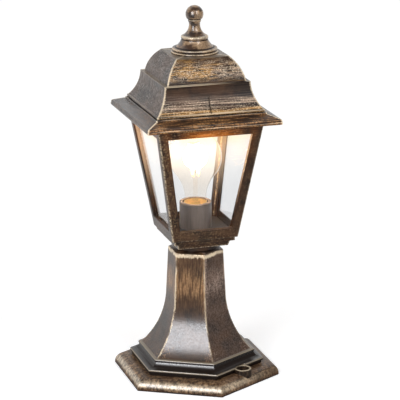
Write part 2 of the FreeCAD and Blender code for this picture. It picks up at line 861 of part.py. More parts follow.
def make_finial():
    z = roof_top
    base = finial_base_radius
    ring = finial_ring_radius
    ring_low = z + finial_base_height + finial_base_groove
    ring_high = ring_low + finial_ring_height
    disc_low = z + finial_disc_level
    disc_high = disc_low + finial_disc_height
    disc_round = finial_disc_height / 2
    neck = z + finial_neck_level
    collar = z + finial_collar_level
    collar_high = collar + finial_collar_height
    ball_low = collar_high + finial_groove
    ball_cut = math.sqrt(ball_radius ** 2 - (z + ball_level - ball_low) ** 2)

    line = Outline(base, z).to(base, z + finial_base_height / 2)
    line.curve(base - finial_base_height / 2, z + finial_base_height, finial_base_height / 2)
    groove_half = ring - finial_base_groove
    line.to(groove_half, z + finial_base_height).to(groove_half, ring_low)
    line.to(ring, ring_low).to(ring, ring_low + finial_ring_height / 2)
    line.curve(ring - finial_ring_height / 2, ring_high, finial_ring_height / 2)
    line.to(finial_bell_foot, ring_high)
    line.curve(finial_disc_radius - finial_disc_step, disc_low, -finial_bell_radius)
    line.to(finial_disc_radius, disc_low).to(finial_disc_radius, disc_low + disc_round)
    line.curve(finial_disc_radius - disc_round, disc_high, disc_round)
    line.curve(finial_neck_radius, neck, -finial_cove_radius)
    line.curve(finial_collar_radius, collar, -finial_collar_radius)
    line.to(finial_collar_radius, collar_high).to(finial_collar_radius - finial_groove, collar_high)
    line.to(finial_collar_radius - finial_groove, ball_low).to(ball_cut, ball_low)
    line.curve(ball_radius, z + ball_level, ball_radius).curve(0, z + ball_level + ball_radius, ball_radius)
    body = line.turned()
    recess = round_bar(seal_radius + slide_gap, z, z + seal_height)
    return body.cut(recess).cut(round_bar(stud_radius + thread_gap, z, z + stud_in_finial))


def make_finial_seal():
    ring = round_bar(seal_radius, roof_top, roof_top + seal_height)
    return ring.cut(round_bar(seal_bore, roof_top, roof_top + seal_height))


def make_finial_stud():
    return round_bar(stud_radius, ledge_top - stud_thread, roof_top + stud_in_finial)


def make_stud_clip():
    """An open spring clip on the stud, below the roof."""
    top = roof_top - roof_wall - clip_drop
    clip = round_bar(clip_radius, top - clip_thickness, top)
    clip = clip.cut(round_bar(stud_radius + thread_gap, top - clip_thickness, top))
    corner = V(0, -stud_radius / 2, top - clip_thickness)
    mouth = Part.makeBox(2 * clip_radius, stud_radius, clip_thickness, corner)
    return clip.cut(mouth)


def block_poles():
    return [(number - 1) * block_pitch for number in range(3)]


def make_terminal_block():
    near = block_offset - block_width / 2
    level = foot_height + block_height / 2
    top = foot_height + block_height
    block = Part.makeBox(block_length, block_width, block_height, V(-block_length / 2, near, foot_height))
    long_edges = [e for e in block.Edges if e.BoundBox.XLength > block_length / 2]
    block = block.makeFillet(block_height / 5, [e for e in long_edges if e.BoundBox.ZMin > level])
    for x in block_poles():
        block = block.cut(Part.makeCylinder(block_hole_radius, block_width, V(x, near, level), V(0, 1, 0)))
        for side in (-1, 1):
            y = block_offset + side * block_width / 4
            block = block.cut(round_bar(block_hole_radius, level, top, x, y))
    screw_hole = round_bar(earth_screw_radius + slide_gap, foot_height, top, block_pitch / 2, block_offset)
    return block.cut(screw_hole)


def make_terminal_screws():
    level = foot_height + block_height / 2 + wire_radius
    top = foot_height + block_height - block_hole_radius
    screws = []
    for x in block_poles():
        for side in (-1, 1):
            y = block_offset + side * block_width / 4
            screws.append(round_bar(block_hole_radius - thread_gap, level, top, x, y))
    return Part.makeCompound(screws)


def make_earth_screw():
    screw = pan_screw(earth_screw_radius, earth_screw_height + foot_wall)
    return moved(screw, *earth_place, foot_height + earth_screw_height)


def mains_wire(side):
    """A wire from its terminal, up the column and through the tube to the lamp holder."""
    level = foot_height + block_height / 2
    start = block_offset - block_width / 2 + block_hole_radius
    x = block_poles()[1 + side]
    near = wire_spread * (1 if side else -1)
    points = [(x, start, level)]
    for inwards, upwards, across in wire_bends:
        points.append((x + (near - x) * across, start * (1 - inwards), level + (tube_low - level) * upwards))
    points.append((near, 0, holder_floor - wire_radius))
    return tube_along(points, wire_radius)


def make_earth_wire():
    level = foot_height + block_height / 2
    start = block_offset - block_width / 2 + block_hole_radius
    x = block_poles()[0]
    seat = foot_height + earth_screw_height - wire_radius
    beside = earth_screw_radius + wire_radius + thread_gap
    end_x = earth_place[0] + beside
    end_y = earth_place[1] + wire_radius
    return tube_along([
        (x, start, level),
        (x, start - earth_loop, level),
        (x - earth_loop, start - 1.5 * earth_loop, level),
        (end_x + earth_loop * 2 / 3, end_y - earth_loop / 2, seat),
        (end_x, end_y, seat),
    ], wire_radius)


def all_pieces():
    block_level = foot_height + block_height
    block_screw = pan_screw(earth_screw_radius, block_height + foot_wall)
    pieces = {
        "foot": make_foot(),
        "column": make_column(),
        "column_screws": make_column_screws(),
        "terminal_block": make_terminal_block(),
        "terminal_screws": make_terminal_screws(),
        "block_screw": moved(block_screw, block_pitch / 2, block_offset, block_level),
        "earth_screw": make_earth_screw(),
        "earth_wire": make_earth_wire(),
        "live_wire": mains_wire(0),
        "neutral_wire": mains_wire(1),
        "threaded_tube": make_threaded_tube(),
        "lower_nut": make_lower_nut(),
        "lower_washer": make_lower_washer(),
        "upper_nut": make_upper_nut(),
        "neck_collar": make_neck_collar(),
        "cage": make_cage(),
        "floor_plate": make_floor_plate(),
        "lamp_holder": make_lamp_holder(),
        "holder_shell": make_holder_shell(),
        "holder_contact": make_holder_contact(),
        "bulb_button": make_bulb_button(),
        "bulb_insulator": make_bulb_insulator(),
        "bulb_cap": make_bulb_cap(),
        "bulb_glass": make_bulb_glass(),
        "bulb_stem": make_bulb_stem(),
        "bulb_supports": make_bulb_supports(),
        "bulb_filaments": make_bulb_filaments(),
        "eave_frame": make_eave_frame(),
        "eave_screws": make_eave_screws(),
        "roof_strap": make_roof_strap(),
        "strap_screws": make_strap_screws(),
        "roof_nut": make_roof_nut(),
        "roof_gasket": make_roof_gasket(),
        "roof": make_roof(),
        "finial": make_finial(),
        "finial_seal": make_finial_seal(),
        "finial_stud": make_finial_stud(),
        "stud_clip": make_stud_clip(),
    }
    for side, angle in (("front", 0), ("right", 90), ("back", 180), ("left", 270)):
        pieces["pane_" + side] = make_pane(angle)
    return pieces


os.makedirs("parts", exist_ok=True)
for name, shape in all_pieces().items():
    shape.exportStep("parts/" + name + ".step")
    box = shape.optimalBoundingBox()
    print(f"{name:16s} solids {len(shape.Solids)} valid {shape.isValid()} volume {shape.Volume:10.1f}"
          f"  z {box.ZMin:7.2f} to {box.ZMax:7.2f}")
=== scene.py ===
# %% [markdown]
# # A lit pedestal lantern in antique bronze
#
# The lantern is a garden light on a six-sided column: a square tapered cage with four panes, a
# curved roof with a finial, and a bulb that glows inside. Its solids come ready from the CAD model,
# so this lesson is about looks: worn edges, brushed bronze, clear glass, screw threads and light.
# Every piece keeps the place that the solids give it.

import math

import bmesh
import bpy
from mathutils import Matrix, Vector


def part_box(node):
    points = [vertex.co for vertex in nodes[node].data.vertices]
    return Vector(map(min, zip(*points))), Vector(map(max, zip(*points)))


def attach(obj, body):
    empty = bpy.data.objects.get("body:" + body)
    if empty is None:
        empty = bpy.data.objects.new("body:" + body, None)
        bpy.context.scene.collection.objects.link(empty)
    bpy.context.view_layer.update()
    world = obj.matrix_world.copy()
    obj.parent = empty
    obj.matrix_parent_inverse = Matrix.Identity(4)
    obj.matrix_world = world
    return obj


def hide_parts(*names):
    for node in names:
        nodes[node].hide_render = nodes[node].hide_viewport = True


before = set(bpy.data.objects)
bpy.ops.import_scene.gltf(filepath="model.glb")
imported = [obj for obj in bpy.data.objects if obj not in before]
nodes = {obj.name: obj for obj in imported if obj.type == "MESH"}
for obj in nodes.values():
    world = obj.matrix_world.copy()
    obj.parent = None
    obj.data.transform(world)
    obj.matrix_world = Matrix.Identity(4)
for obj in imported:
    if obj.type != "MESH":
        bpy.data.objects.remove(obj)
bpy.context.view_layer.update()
scene = bpy.context.scene

# %% [markdown]
# ## The camera
#
# The photograph was taken from the left of the front pane and a little above it, from far off with
# a long lens, so uprights stay nearly parallel. A camera can be placed by hand, but here it is
# worked out from four numbers that were measured on the photograph: bearing, height angle, distance
# and lens. The picture's middle isn't quite on the lantern, and a small lens shift gives that
# without turning the camera.

# %% Camera
CAMERA_BEARING = -107.3
CAMERA_HEIGHT = 15.87
CAMERA_DISTANCE = 2.2687
CAMERA_ROLL = -0.275
LENS_LENGTH = 180.5
SENSOR_WIDTH = 36.0
SHIFT_ACROSS = 0.0117
SHIFT_UP = -0.0229
LANTERN_MIDDLE = Vector((0.0, 0.0, 0.2137))


def stand(thing, bearing, height, distance):
    """Puts a camera or lamp round the lantern, by angles in degrees, and turns it to look there."""
    turn = math.radians(bearing)
    rise = math.radians(height)
    level = math.cos(rise)
    way = Vector((math.cos(turn) * level, math.sin(turn) * level, math.sin(rise)))
    thing.location = LANTERN_MIDDLE + distance * way
    sight = LANTERN_MIDDLE - thing.location
    thing.rotation_euler = sight.to_track_quat("-Z", "Y").to_euler()
    scene.collection.objects.link(thing)


lens = bpy.data.cameras.new("long_lens")
lens.lens = LENS_LENGTH
lens.sensor_width = SENSOR_WIDTH
lens.shift_x = SHIFT_ACROSS
lens.shift_y = SHIFT_UP
camera = bpy.data.objects.new("camera", lens)
stand(camera, CAMERA_BEARING, CAMERA_HEIGHT, CAMERA_DISTANCE)
camera.rotation_euler.rotate_axis("Z", math.radians(CAMERA_ROLL))
scene.camera = camera
print("camera at", [round(value, 3) for value in camera.location])

# %% [markdown]
# ## Node trees written as sums
#
# A finish in Blender is a tree of small nodes, and clicking a hundred of them together is slow to
# do and slow to read. Here one class holds a node's output and answers to Python's own operators:
# adding two tones puts a Math node into the tree. All sums with one Math node work alike, so a table
# of names gives them to the class. Every other kind of node comes from the one method `node`. The
# same class serves materials, the world and Geometry Nodes.

# %% A tone: one socket that can be added up
class Tone:
    """One output of a node. Operators on it add Math nodes to the same tree."""

    def __init__(self, tree, socket=None):
        self.tree = tree
        self.socket = socket

    def node(self, kind, settings=None, inputs=None, output=0):
        """Any node: its type, its settings, which are set first, and its sockets' values or links."""
        made = self.tree.nodes.new(kind)
        for name, value in (settings or {}).items():
            setattr(made, name, value)
        for name, value in (inputs or {}).items():
            if isinstance(value, Tone):
                self.tree.links.new(value.socket, made.inputs[name])
            else:
                made.inputs[name].default_value = value
        return Tone(self.tree, made.outputs[output] if len(made.outputs) else None)

    def other(self, name):
        """Another output of the same node."""
        return Tone(self.tree, self.socket.node.outputs[name])

    def math(self, operation, *values):
        return self.node("ShaderNodeMath", {"operation": operation}, dict(enumerate(values)))

    def __rsub__(self, value):
        return self.math("SUBTRACT", value, self)

    def rise(self, low, high):
        """0 below low, 1 above high, and a soft ramp between."""
        limits = {"Value": self, "From Min": low, "From Max": high}
        return self.node("ShaderNodeMapRange", {"interpolation_type": "SMOOTHSTEP"}, limits)

    def fall(self, low, high):
        """1 below low, 0 above high, and a soft ramp between."""
        return 1 - self.rise(low, high)

    def near(self, level, reach):
        """1 at a level, and down to 0 at that reach above and below it."""
        return abs(self - level).fall(reach * 0.25, reach)

    def mix(self, below, above):
        """A colour: below where this tone is 0, above where it is 1."""
        ends_of_mix = {0: self, 6: below, 7: above}
        return self.node("ShaderNodeMix", {"data_type": "RGBA"}, ends_of_mix, output=2)

    def parts(self):
        """The three numbers of a vector."""
        split = self.node("ShaderNodeSeparateXYZ", None, {0: self})
        return split, split.other("Y"), split.other("Z")

    def grain(self, size, detail=3.0, roughness=0.6, start=0.0):
        """Noise over a place in millimetres, with blotches of about that size along x, y and z."""
        scale = tuple(1.0 / length for length in size)
        offset = (start, start * 0.7, start * 1.3)
        vector = self.node("ShaderNodeVectorMath", {"operation": "MULTIPLY_ADD"},
                           {0: self, 1: scale, 2: offset})
        values = {"Vector": vector, "Scale": 1.0, "Detail": detail, "Roughness": roughness}
        return self.node("ShaderNodeTexNoise", None, values)


def sum_of(operation):
    """A method that puts a tone, and a second value if there is one, into a Math node."""
    return lambda tone, *values: tone.math(operation, tone, *values)


SUMS = {
    "__add__": "ADD", "__radd__": "ADD", "__sub__": "SUBTRACT", "__mul__": "MULTIPLY",
    "__rmul__": "MULTIPLY", "__truediv__": "DIVIDE", "__mod__": "FLOORED_MODULO",
    "__gt__": "GREATER_THAN", "__abs__": "ABSOLUTE", "root": "SQRT", "ceiling": "CEIL",
    "sine": "SINE", "cosine": "COSINE", "least": "MINIMUM", "most": "MAXIMUM"}
for name, operation in SUMS.items():
    setattr(Tone, name, sum_of(operation))


def empty_tree(owner):
    """Switches on the node tree of a material or world, clears it and starts a sum in it."""
    owner.use_nodes = True
    owner.node_tree.nodes.clear()
    return Tone(owner.node_tree)


def radius_of(x, y):
    """The distance from the upright axis."""
    return (x * x + y * y).root()


print("sums of a tone:", ", ".join(SUMS))

# %% [markdown]
# ## The white surround
#
# The photograph has a white ground that shows no horizon. More light would bleach the lantern as
# well, so the world is white only to the camera and through glass. What the paint mirrors is a
# photographer's room instead: bright behind the lantern, dim in front, where the camera stands.

# %% World
WHITE = (1.0, 1.0, 1.0, 1.0)
NO_LIGHT = (0.0, 0.0, 0.0, 1.0)
AMBIENT = 0.42
DIM_ROOM = 0.12

world = bpy.data.worlds.new("white_surround")
scene.world = world
sky = empty_tree(world)
path = sky.node("ShaderNodeLightPath", output="Is Camera Ray")
straight = path.most(path.other("Is Transmission Ray"))
gloss = path.other("Is Glossy Ray")
_, depth, _ = sky.node("ShaderNodeTexCoord", output="Generated").parts()
mirrored = depth.rise(0.1, 0.6) * (1.0 - DIM_ROOM) + DIM_ROOM
brightness = straight.most(gloss * mirrored).most((1 - gloss) * AMBIENT)
backdrop = sky.node("ShaderNodeBackground", None, {"Color": WHITE, "Strength": brightness})
sky.node("ShaderNodeOutputWorld", None, {"Surface": backdrop})
print("world lights at", AMBIENT, "and is mirrored from", DIM_ROOM, "to 1")

# %% [markdown]
# ## The floor
#
# The lantern casts a faint shadow to the right. A floor that simply shines white would lose it, and
# a plain floor would show its horizon. So the floor is a pale matt disc that fades into a glowing
# white away from the foot: the shadow stays and the horizon goes. In the paint's gloss the floor in
# front is dimmed like the room, or the castings would turn grey from below.

# %% Floor
FLOOR_COLOUR = (0.82, 0.82, 0.82, 1.0)
FLOOR_RADIUS = 4.0
FLOOR_LEVEL = -0.0004
FLOOR_GLOW = 0.42
FLOOR_IN_GLOSS = 0.3
FAR_WHITE = 1.02


def show(shader):
    """Makes a shader the surface of its material."""
    shader.node("ShaderNodeOutputMaterial", None, {"Surface": shader})


floor_finish = bpy.data.materials.new("pale_floor")
ground = empty_tree(floor_finish)
gloss = ground.node("ShaderNodeLightPath", output="Is Glossy Ray")
x, y, _ = ground.node("ShaderNodeTexCoord", output="Object").parts()
away = radius_of(x, y).rise(0.10, 0.30)
dimmed = gloss * y.fall(-0.05, 0.25) * (1.0 - FLOOR_IN_GLOSS)
shade = dimmed.mix(FLOOR_COLOUR, NO_LIGHT)
matt = ground.node("ShaderNodeBsdfDiffuse", None, {"Color": shade})
lift = ground.node("ShaderNodeEmission", None, {"Color": WHITE, "Strength": (1 - gloss) * FLOOR_GLOW})
near = ground.node("ShaderNodeAddShader", None, {0: matt, 1: lift})
far = ground.node("ShaderNodeEmission", None, {"Color": WHITE, "Strength": (1 - dimmed) * FAR_WHITE})
show(ground.node("ShaderNodeMixShader", None, {0: away, 1: near, 2: far}))

floor_mesh = bpy.data.meshes.new("floor")
shape = bmesh.new()
bmesh.ops.create_circle(shape, cap_ends=True, segments=64, radius=FLOOR_RADIUS)
bmesh.ops.translate(shape, verts=shape.verts, vec=(0.0, 0.0, FLOOR_LEVEL))
shape.to_mesh(floor_mesh)
shape.free()
floor_mesh.materials.append(floor_finish)
floor = bpy.data.objects.new("floor", floor_mesh)
scene.collection.objects.link(floor)
print("floor of radius", FLOOR_RADIUS, "m")

# %% [markdown]
# ## Softboxes
#
# Two softboxes do the modelling. A tall one on the left throws the shadow, and its mirror image lies
# on the column's flare. A narrower one stands in front and higher, for the faces towards the camera.
# Point lamps would give hard white dots in the lacquer, which the photograph doesn't have.

# %% Lamps
DAYLIGHT = (0.95, 0.96, 1.0)


def softbox(name, bearing, height, distance, wide, tall, power):
    """A lamp with an oblong face, which looks at the lantern."""
    lamp = bpy.data.lights.new(name, "AREA")
    lamp.shape = "RECTANGLE"
    lamp.size = wide
    lamp.size_y = tall
    lamp.energy = power
    lamp.color = DAYLIGHT
    box = bpy.data.objects.new(name, lamp)
    stand(box, bearing, height, distance)
    box.visible_camera = False


softbox("left_softbox", bearing=-136.0, height=24.5, distance=1.5, wide=0.6, tall=0.9, power=17.0)
softbox("front_softbox", bearing=-72.7, height=34.0, distance=1.6, wide=0.45, tall=0.9, power=10.0)
print("lamps:", [lamp.name for lamp in bpy.data.lights])

# %% [markdown]
# ## Antique bronze
#
# The castings are painted nearly black, and then a brush that is almost dry drags gold across them.
# It catches on edges and on the high spots of the cast skin, and skips the hollows. A picture of
# such paint would smear on curved walls, so the finish is worked out from each point's place
# instead: one mask says where the brush caught, another where edges are rubbed bare, and both steer
# colour, shine and a fine relief together. A clear lacquer lies over it, thick on the smooth black
# and thin on the dry gold.

# %% The shared bronze
BLACK = (0.012, 0.007, 0.005, 1.0)
UMBER = (0.045, 0.021, 0.010, 1.0)
PALE_GOLD = (0.86, 0.66, 0.42, 1.0)
CREAM = (0.93, 0.80, 0.60, 1.0)
CAST_SKIN = (1.3, 1.3, 1.3)
CAST_RELIEF = 0.00035
PAINT_BLOTCH = (30.0, 30.0, 24.0)
FLECK = (1.8, 1.8, 1.8)


def new_finish(name):
    """An empty material, and the place on the surface in millimetres."""
    finish = bpy.data.materials.new(name)
    metres = empty_tree(finish).node("ShaderNodeTexCoord", output="Object")
    scale = {0: metres, "Scale": 1000.0}
    return finish, metres.node("ShaderNodeVectorMath", {"operation": "SCALE"}, scale)


def relief(height, depth):
    """A normal from a height, where depth is its swing in metres."""
    values = {"Height": height, "Strength": 1.0, "Distance": depth}
    return height.node("ShaderNodeBump", None, values, output="Normal")


def bronze(place, brushed, rubbed, leaf, lacquer, rugged=1.0, metal=0.3, gleam=0.23, index=1.7,
           glow=None, umber=1.0):
    """Dark paint, the brush's leaf where brushed is 1, bare metal where rubbed is 1, and lacquer.

    Rugged scales the relief, metal is how metallic the leaf is, gleam and index are the lacquer's
    roughness and refraction, glow is light of the metal's own, and umber browns the black paint.
    """
    cast = place.grain(CAST_SKIN, roughness=0.7)
    paint = (place.grain(PAINT_BLOTCH).rise(0.36, 0.62) * umber).mix(BLACK, UMBER)
    caught = brushed.most(rubbed)
    sockets = {
        "Base Color": rubbed.mix(brushed.mix(paint, leaf), cast.mix(PALE_GOLD, CREAM)),
        "Metallic": caught * metal + 0.08,
        "Roughness": (cast - 0.5) * 0.5 + 0.4,
        "Specular IOR Level": 0.2,
        "Normal": relief((caught * 0.3 + cast * 0.7) * rugged, CAST_RELIEF),
        "Coat Weight": (cast.rise(0.3, 0.7) * 0.8 + 0.4) * (1 - caught * 0.5) * lacquer,
        "Coat Roughness": gleam,
        "Coat IOR": index,
    }
    if glow is not None:
        sockets["Emission Color"] = glow
        sockets["Emission Strength"] = 1.0
    return place.node("ShaderNodeBsdfPrincipled", None, sockets, output="BSDF")


def ends(node):
    """The lowest and highest level of a solid, in millimetres."""
    lowest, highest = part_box(node)
    return lowest.z * 1000.0, highest.z * 1000.0


print("bronze from", BLACK[:3], "to", CREAM[:3])

# %% [markdown]
# ## Roof bronze
#
# On the roof's flare the brush went sideways, so its marks are long and level. On the dome above the
# ledge it was dabbed and leaves a speckle, with a few broad swipes of gold. Right under the ledge the
# gold is thinned to black, which is painted shade, and a band of brush marks low on the flare is a
# painted sheen. The left and right faces were hardly brushed: they show their lacquer, with long
# fine scratches up and down. The mitred hips are rubbed to cream, and so are the ledge and the bead
# at the foot of the roof. Stretched noise gives every mark: a long brush line is a blotch 50 mm long
# and 1.1 mm high. A short mould seam crosses the flare at the middle of the front and back.

# %% Roof bronze
ROOF_LOW, ROOF_CAP = ends("roof")
ROOF_BEAD = ROOF_LOW + 3.3
ROOF_LEDGE = ROOF_LOW + 32.9
DOME_MIDDLE = ROOF_LEDGE + 14.0
FLARE_SHEEN = ROOF_BEAD + 6.0
SEAM_TOP = ROOF_BEAD + 12.0
SCRATCH = (1.1, 1.1, 34.0)
BUFF_LEAF = (0.50, 0.36, 0.25, 1.0)
AMBER_LEAF = (0.56, 0.30, 0.09, 1.0)
FLANK_LEAF = (0.48, 0.41, 0.36, 1.0)


def square_lie(x, y):
    """For four mitred sides: distance from the mitre, way along the side, and 1 on the flanks."""
    on_flank = abs(x) > abs(y)
    along = x + (y - x) * on_flank
    return abs(abs(x) - abs(y)), along, on_flank


roof_bronze, place = new_finish("roof_bronze")
x, y, z = place.parts()
hip, _, flank = square_lie(x, y)
speck = place.grain((1.6, 1.6, 1.0), detail=1.0, roughness=0.5, start=2.0).rise(0.52, 0.68)
line = place.grain((11.0, 11.0, 1.0), detail=2.0, roughness=0.5)
long_line = place.grain((50.0, 50.0, 1.1), detail=2.0, roughness=0.5, start=4.0)
swipe = place.grain((26.0, 26.0, 8.0), start=7.0).rise(0.40, 0.60)
scratch = place.grain(SCRATCH, detail=2.0, roughness=0.5, start=12.0)
dome = z.rise(ROOF_LEDGE - 0.5, ROOF_LEDGE + 1.0)
mid_dome = z.near(DOME_MIDDLE, 14.0)
# painted sheen: more brush marks where the lower flare mirrors the softbox
painted_flare_sheen = z.near(FLARE_SHEEN, 10.0)
flare_foot = z.fall(ROOF_BEAD + 1.0, ROOF_BEAD + 6.0)
# painted shade: the gold is thinned to black under the ledge
shade_under_ledge = z.rise(ROOF_LEDGE - 16.0, ROOF_LEDGE - 6.0) * (1 - dome)
on_dome = (line.rise(0.40, 0.60) * 0.8) * (mid_dome * 0.55 + swipe * 0.15 + 0.04) * dome
on_flare = long_line.rise(0.43, 0.57) * (painted_flare_sheen * 0.95 + flare_foot * 0.1 + 0.14) * (1 - dome)
on_flare = on_flare * (speck * 0.5 + 0.6)
brushed = (on_dome + on_flare) * (1 - shade_under_ledge * 0.7) * (1 - flank)
brushed = brushed.most(scratch.rise(0.42, 0.70) * (swipe * 0.25 + 0.2) * flank)
hips = (hip + (line - 0.5) * 3.0).fall(0.6, 2.2) * (speck * 0.3 + 0.55)
ledge = z.near(ROOF_LEDGE - 0.2, 0.8) * x.fall(-20.0, 40.0) * 0.45
bead = z.near(ROOF_BEAD - 0.4, 1.0) * (long_line.rise(0.38, 0.60) * 0.5 + 0.05)
cap = z.rise(ROOF_CAP - 1.2, ROOF_CAP - 0.3) * 0.12
seam = x.near(0.0, 0.8) * z.fall(SEAM_TOP, SEAM_TOP + 5.0) * z.rise(ROOF_BEAD - 1.0, ROOF_BEAD)
seam = seam * (abs(y) > 40.0)
dabs = speck * (dome * mid_dome * 0.4 + flare_foot * 0.3 + painted_flare_sheen * 0.2) * (1 - flank)
rubbed = hips.most(dabs).most(ledge.most(bead) * (1 - flank * 0.7)).most(cap) * (1 - seam)
leaf = (swipe * dome).most(flare_foot).mix(BUFF_LEAF, AMBER_LEAF)
leaf = flank.mix(leaf, FLANK_LEAF)
lacquer = (1 - flank) * (1 - shade_under_ledge) * 0.05 + flank * (scratch.rise(0.40, 0.64) * 0.45 + 0.08)
show(bronze(place, brushed * (1 - seam), rubbed, leaf, lacquer))
print("roof from", ROOF_LOW, "to", ROOF_CAP, "mm, ledge at", ROOF_LEDGE)

# %% [markdown]
# ## Eave bronze
#
# The frame under the roof has a sloping top and an upright rim. The brush ran along it, so its lines
# are level and copper shows in them, and the rim's edges are rubbed in places. The left and right
# sides are lacquered black like those of the roof. It could share the roof's finish, but its levels
# and colours differ, and two short finishes are easier to read than one long one.

# %% Eave bronze
EAVE_LOW, EAVE_LIP = ends("eave_frame")
EAVE_RIM_TOP = EAVE_LOW + 7.6
EAVE_RIM_LOW = EAVE_RIM_TOP - 3.6
EAVE_COPPER = (0.46, 0.19, 0.06, 1.0)
EAVE_GOLD = (0.58, 0.31, 0.12, 1.0)

eave_bronze, place = new_finish("eave_bronze")
x, y, z = place.parts()
hip, _, flank = square_lie(x, y)
fleck = place.grain(FLECK, start=3.0)
line = place.grain((26.0, 26.0, 0.9), start=5.0)
scratch = place.grain(SCRATCH, detail=2.0, roughness=0.5, start=9.0)
brushed = line.rise(0.45, 0.60) * (fleck.rise(0.42, 0.58) * 0.7 + 0.1) * (1 - flank * 0.85)
rubbed = (hip + (fleck - 0.5) * 3.0).fall(0.4, 2.0) * 0.8
rim_top = z.near(EAVE_RIM_TOP - 0.3, 0.7)
rim_low = z.near(EAVE_RIM_LOW, 0.6)
lip = z.near(EAVE_LIP - 0.1, 0.7)
lines = (rim_top * 0.5).most(rim_low).most(lip)
lines = lines * (line.rise(0.42, 0.62) * 0.3 + 0.03) * (1 - flank * 0.6)
leaf = line.mix(EAVE_COPPER, EAVE_GOLD)
lacquer = (1 - flank) * 0.06 + flank * (scratch.rise(0.42, 0.58) * 0.5 + 0.4)
show(bronze(place, brushed, rubbed.most(lines), leaf, lacquer))
print("eave from", EAVE_LOW, "to", EAVE_LIP, "mm")

# %% [markdown]
# ## Cage bronze
#
# The cage is darker than the roof, because a brush reaches its narrow bars less well. Posts are
# stroked up and down, rails sideways, and the corners are rubbed. The lamp inside warms the metal
# round the panes, most of all the rail above them. A lamp strong enough for that would burn the
# panes out, so the lamp stays weak and the metal gets a faint glow of its own: pale on the inner
# faces near the lamp, and orange outside, as the bloom that a camera sees round a lit lamp.

# %% Cage bronze
CAGE_BASE, CAGE_TOP = ends("cage")
CAGE_LOW = CAGE_BASE + 12.0
CAGE_LOW_HALF = 38.6
CAGE_TAPER = 0.168
POST = 10.8
SILL = CAGE_LOW + 12.4
HEAD = CAGE_TOP - 11.0
BULB_LOW, BULB_TOP = ends("bulb_glass")
LAMP_LEVEL = BULB_TOP - 16.0
CAGE_COPPER = (0.34, 0.16, 0.07, 1.0)
CAGE_GOLD = (0.56, 0.38, 0.20, 1.0)
INNER_GLOW = (0.55, 0.36, 0.22, 1.0)
ORANGE_GLOW = (0.56, 0.155, 0.010, 1.0)

cage_bronze, place = new_finish("cage_bronze")
x, y, z = place.parts()
hip, along, flank = square_lie(x, y)
fleck = place.grain(FLECK, start=1.0)
level_line = place.grain((16.0, 16.0, 1.6), detail=4.0, roughness=0.7)
upright_line = place.grain((1.6, 1.6, 16.0), detail=4.0, roughness=0.7)
window_half = (z - CAGE_LOW) * CAGE_TAPER + (CAGE_LOW_HALF - POST)
beside = abs(along) - window_half
glazed = z.rise(SILL - 1.0, SILL + 1.0) * z.fall(HEAD - 1.0, HEAD + 1.0)
post = beside.rise(-1.0, 1.0) * glazed
stroke = level_line + (upright_line - level_line) * post
high = z.rise(CAGE_LOW + 40.0, CAGE_TOP - 20.0)
flecked = fleck.rise(0.53, 0.62) * (high * 0.15 + 0.3)
brushed = (stroke.rise(0.46, 0.64) * (high * 0.08 + 0.14)).most(flecked)
brushed = brushed * (1 - flank * 0.5) * (0.75 - x.rise(10.0, 50.0) * 0.5)
# painted shade: round the panes the reveals, sill and head lose gold, rub and lacquer
reveal_shade = abs(beside - 0.6).fall(0.6, 2.2) * glazed
reveal_shade = reveal_shade.most(z.near(SILL, 1.6).most(z.near(HEAD, 1.6)) * beside.fall(-1.0, 0.5))
corner = (hip + (fleck - 0.5) * 2.6).fall(0.6, 2.4)
tray_edge = z.near(CAGE_LOW - 0.4, 1.0).most(z.near(CAGE_BASE + 0.6, 0.9)) * 0.6
rubbed = corner.most(tray_edge) * (fleck.rise(0.40, 0.62) * 0.5) * (1 - reveal_shade)
rail_height = z.rise(HEAD - 6.0, HEAD) * z.fall(HEAD + 3.0, CAGE_TOP + 1.0)
post_glow = abs(beside).fall(0.0, 9.0) * z.rise(SILL + 56.0, HEAD) * 0.16
warmth = (abs(along).fall(10.0, 46.0) * rail_height).most(post_glow)
warmth = warmth * (level_line.rise(0.3, 0.7) * 0.7 + 0.3)
behind_skin = window_half + POST - abs(x).most(abs(y))
inner = behind_skin.rise(1.0, 2.5) * z.rise(LAMP_LEVEL - 75.0, LAMP_LEVEL)
glow = warmth.mix(inner.mix(NO_LIGHT, INNER_GLOW), ORANGE_GLOW)
leaf = fleck.mix(CAGE_COPPER, CAGE_GOLD)
lacquer = (1 - reveal_shade) * 0.15 + 0.03
show(bronze(place, brushed * (1 - reveal_shade * 0.8), rubbed, leaf, lacquer, glow=glow))
for name, level in (("sill", SILL), ("head", HEAD)):
    print(name, "half width", CAGE_LOW_HALF - POST + (level - CAGE_LOW) * CAGE_TAPER)

# %% [markdown]
# ## Column bronze
#
# The column was stroked from top to bottom. Its upper edge and its six arrises are rubbed pale with
# broken borders, copper shows half way up, and the flare is left smooth and shiny. The pale band at
# the upper edge is worn metal and a painted highlight in one. The face to the right is greyer and
# speckled. The moulding round the column's foot is black, with gloss only on its beads, and the pale
# lines on its beads are wear, on the lower bead also a painted highlight. On six sides the distance
# to the nearest arris comes from the bearing: what is left of it after steps of sixty degrees.

# %% Column bronze
COLUMN_LOW, COLUMN_TOP = ends("column")
FLARE_LOW = COLUMN_LOW + 16.4
UPPER_BEAD = FLARE_LOW - 2.4
LOWER_BEAD = FLARE_LOW - 10.4
COLUMN_COPPER = (0.40, 0.17, 0.07, 1.0)
COLUMN_GOLD = (0.56, 0.36, 0.18, 1.0)
RIGHT_GREY = (0.46, 0.36, 0.32, 1.0)


def six_sided_lie(x, y):
    """The distance from the nearest arris."""
    bearing = x.math("ARCTAN2", y, x)
    step = math.radians(60.0)
    return radius_of(x, y) * abs(bearing % step - step / 2)


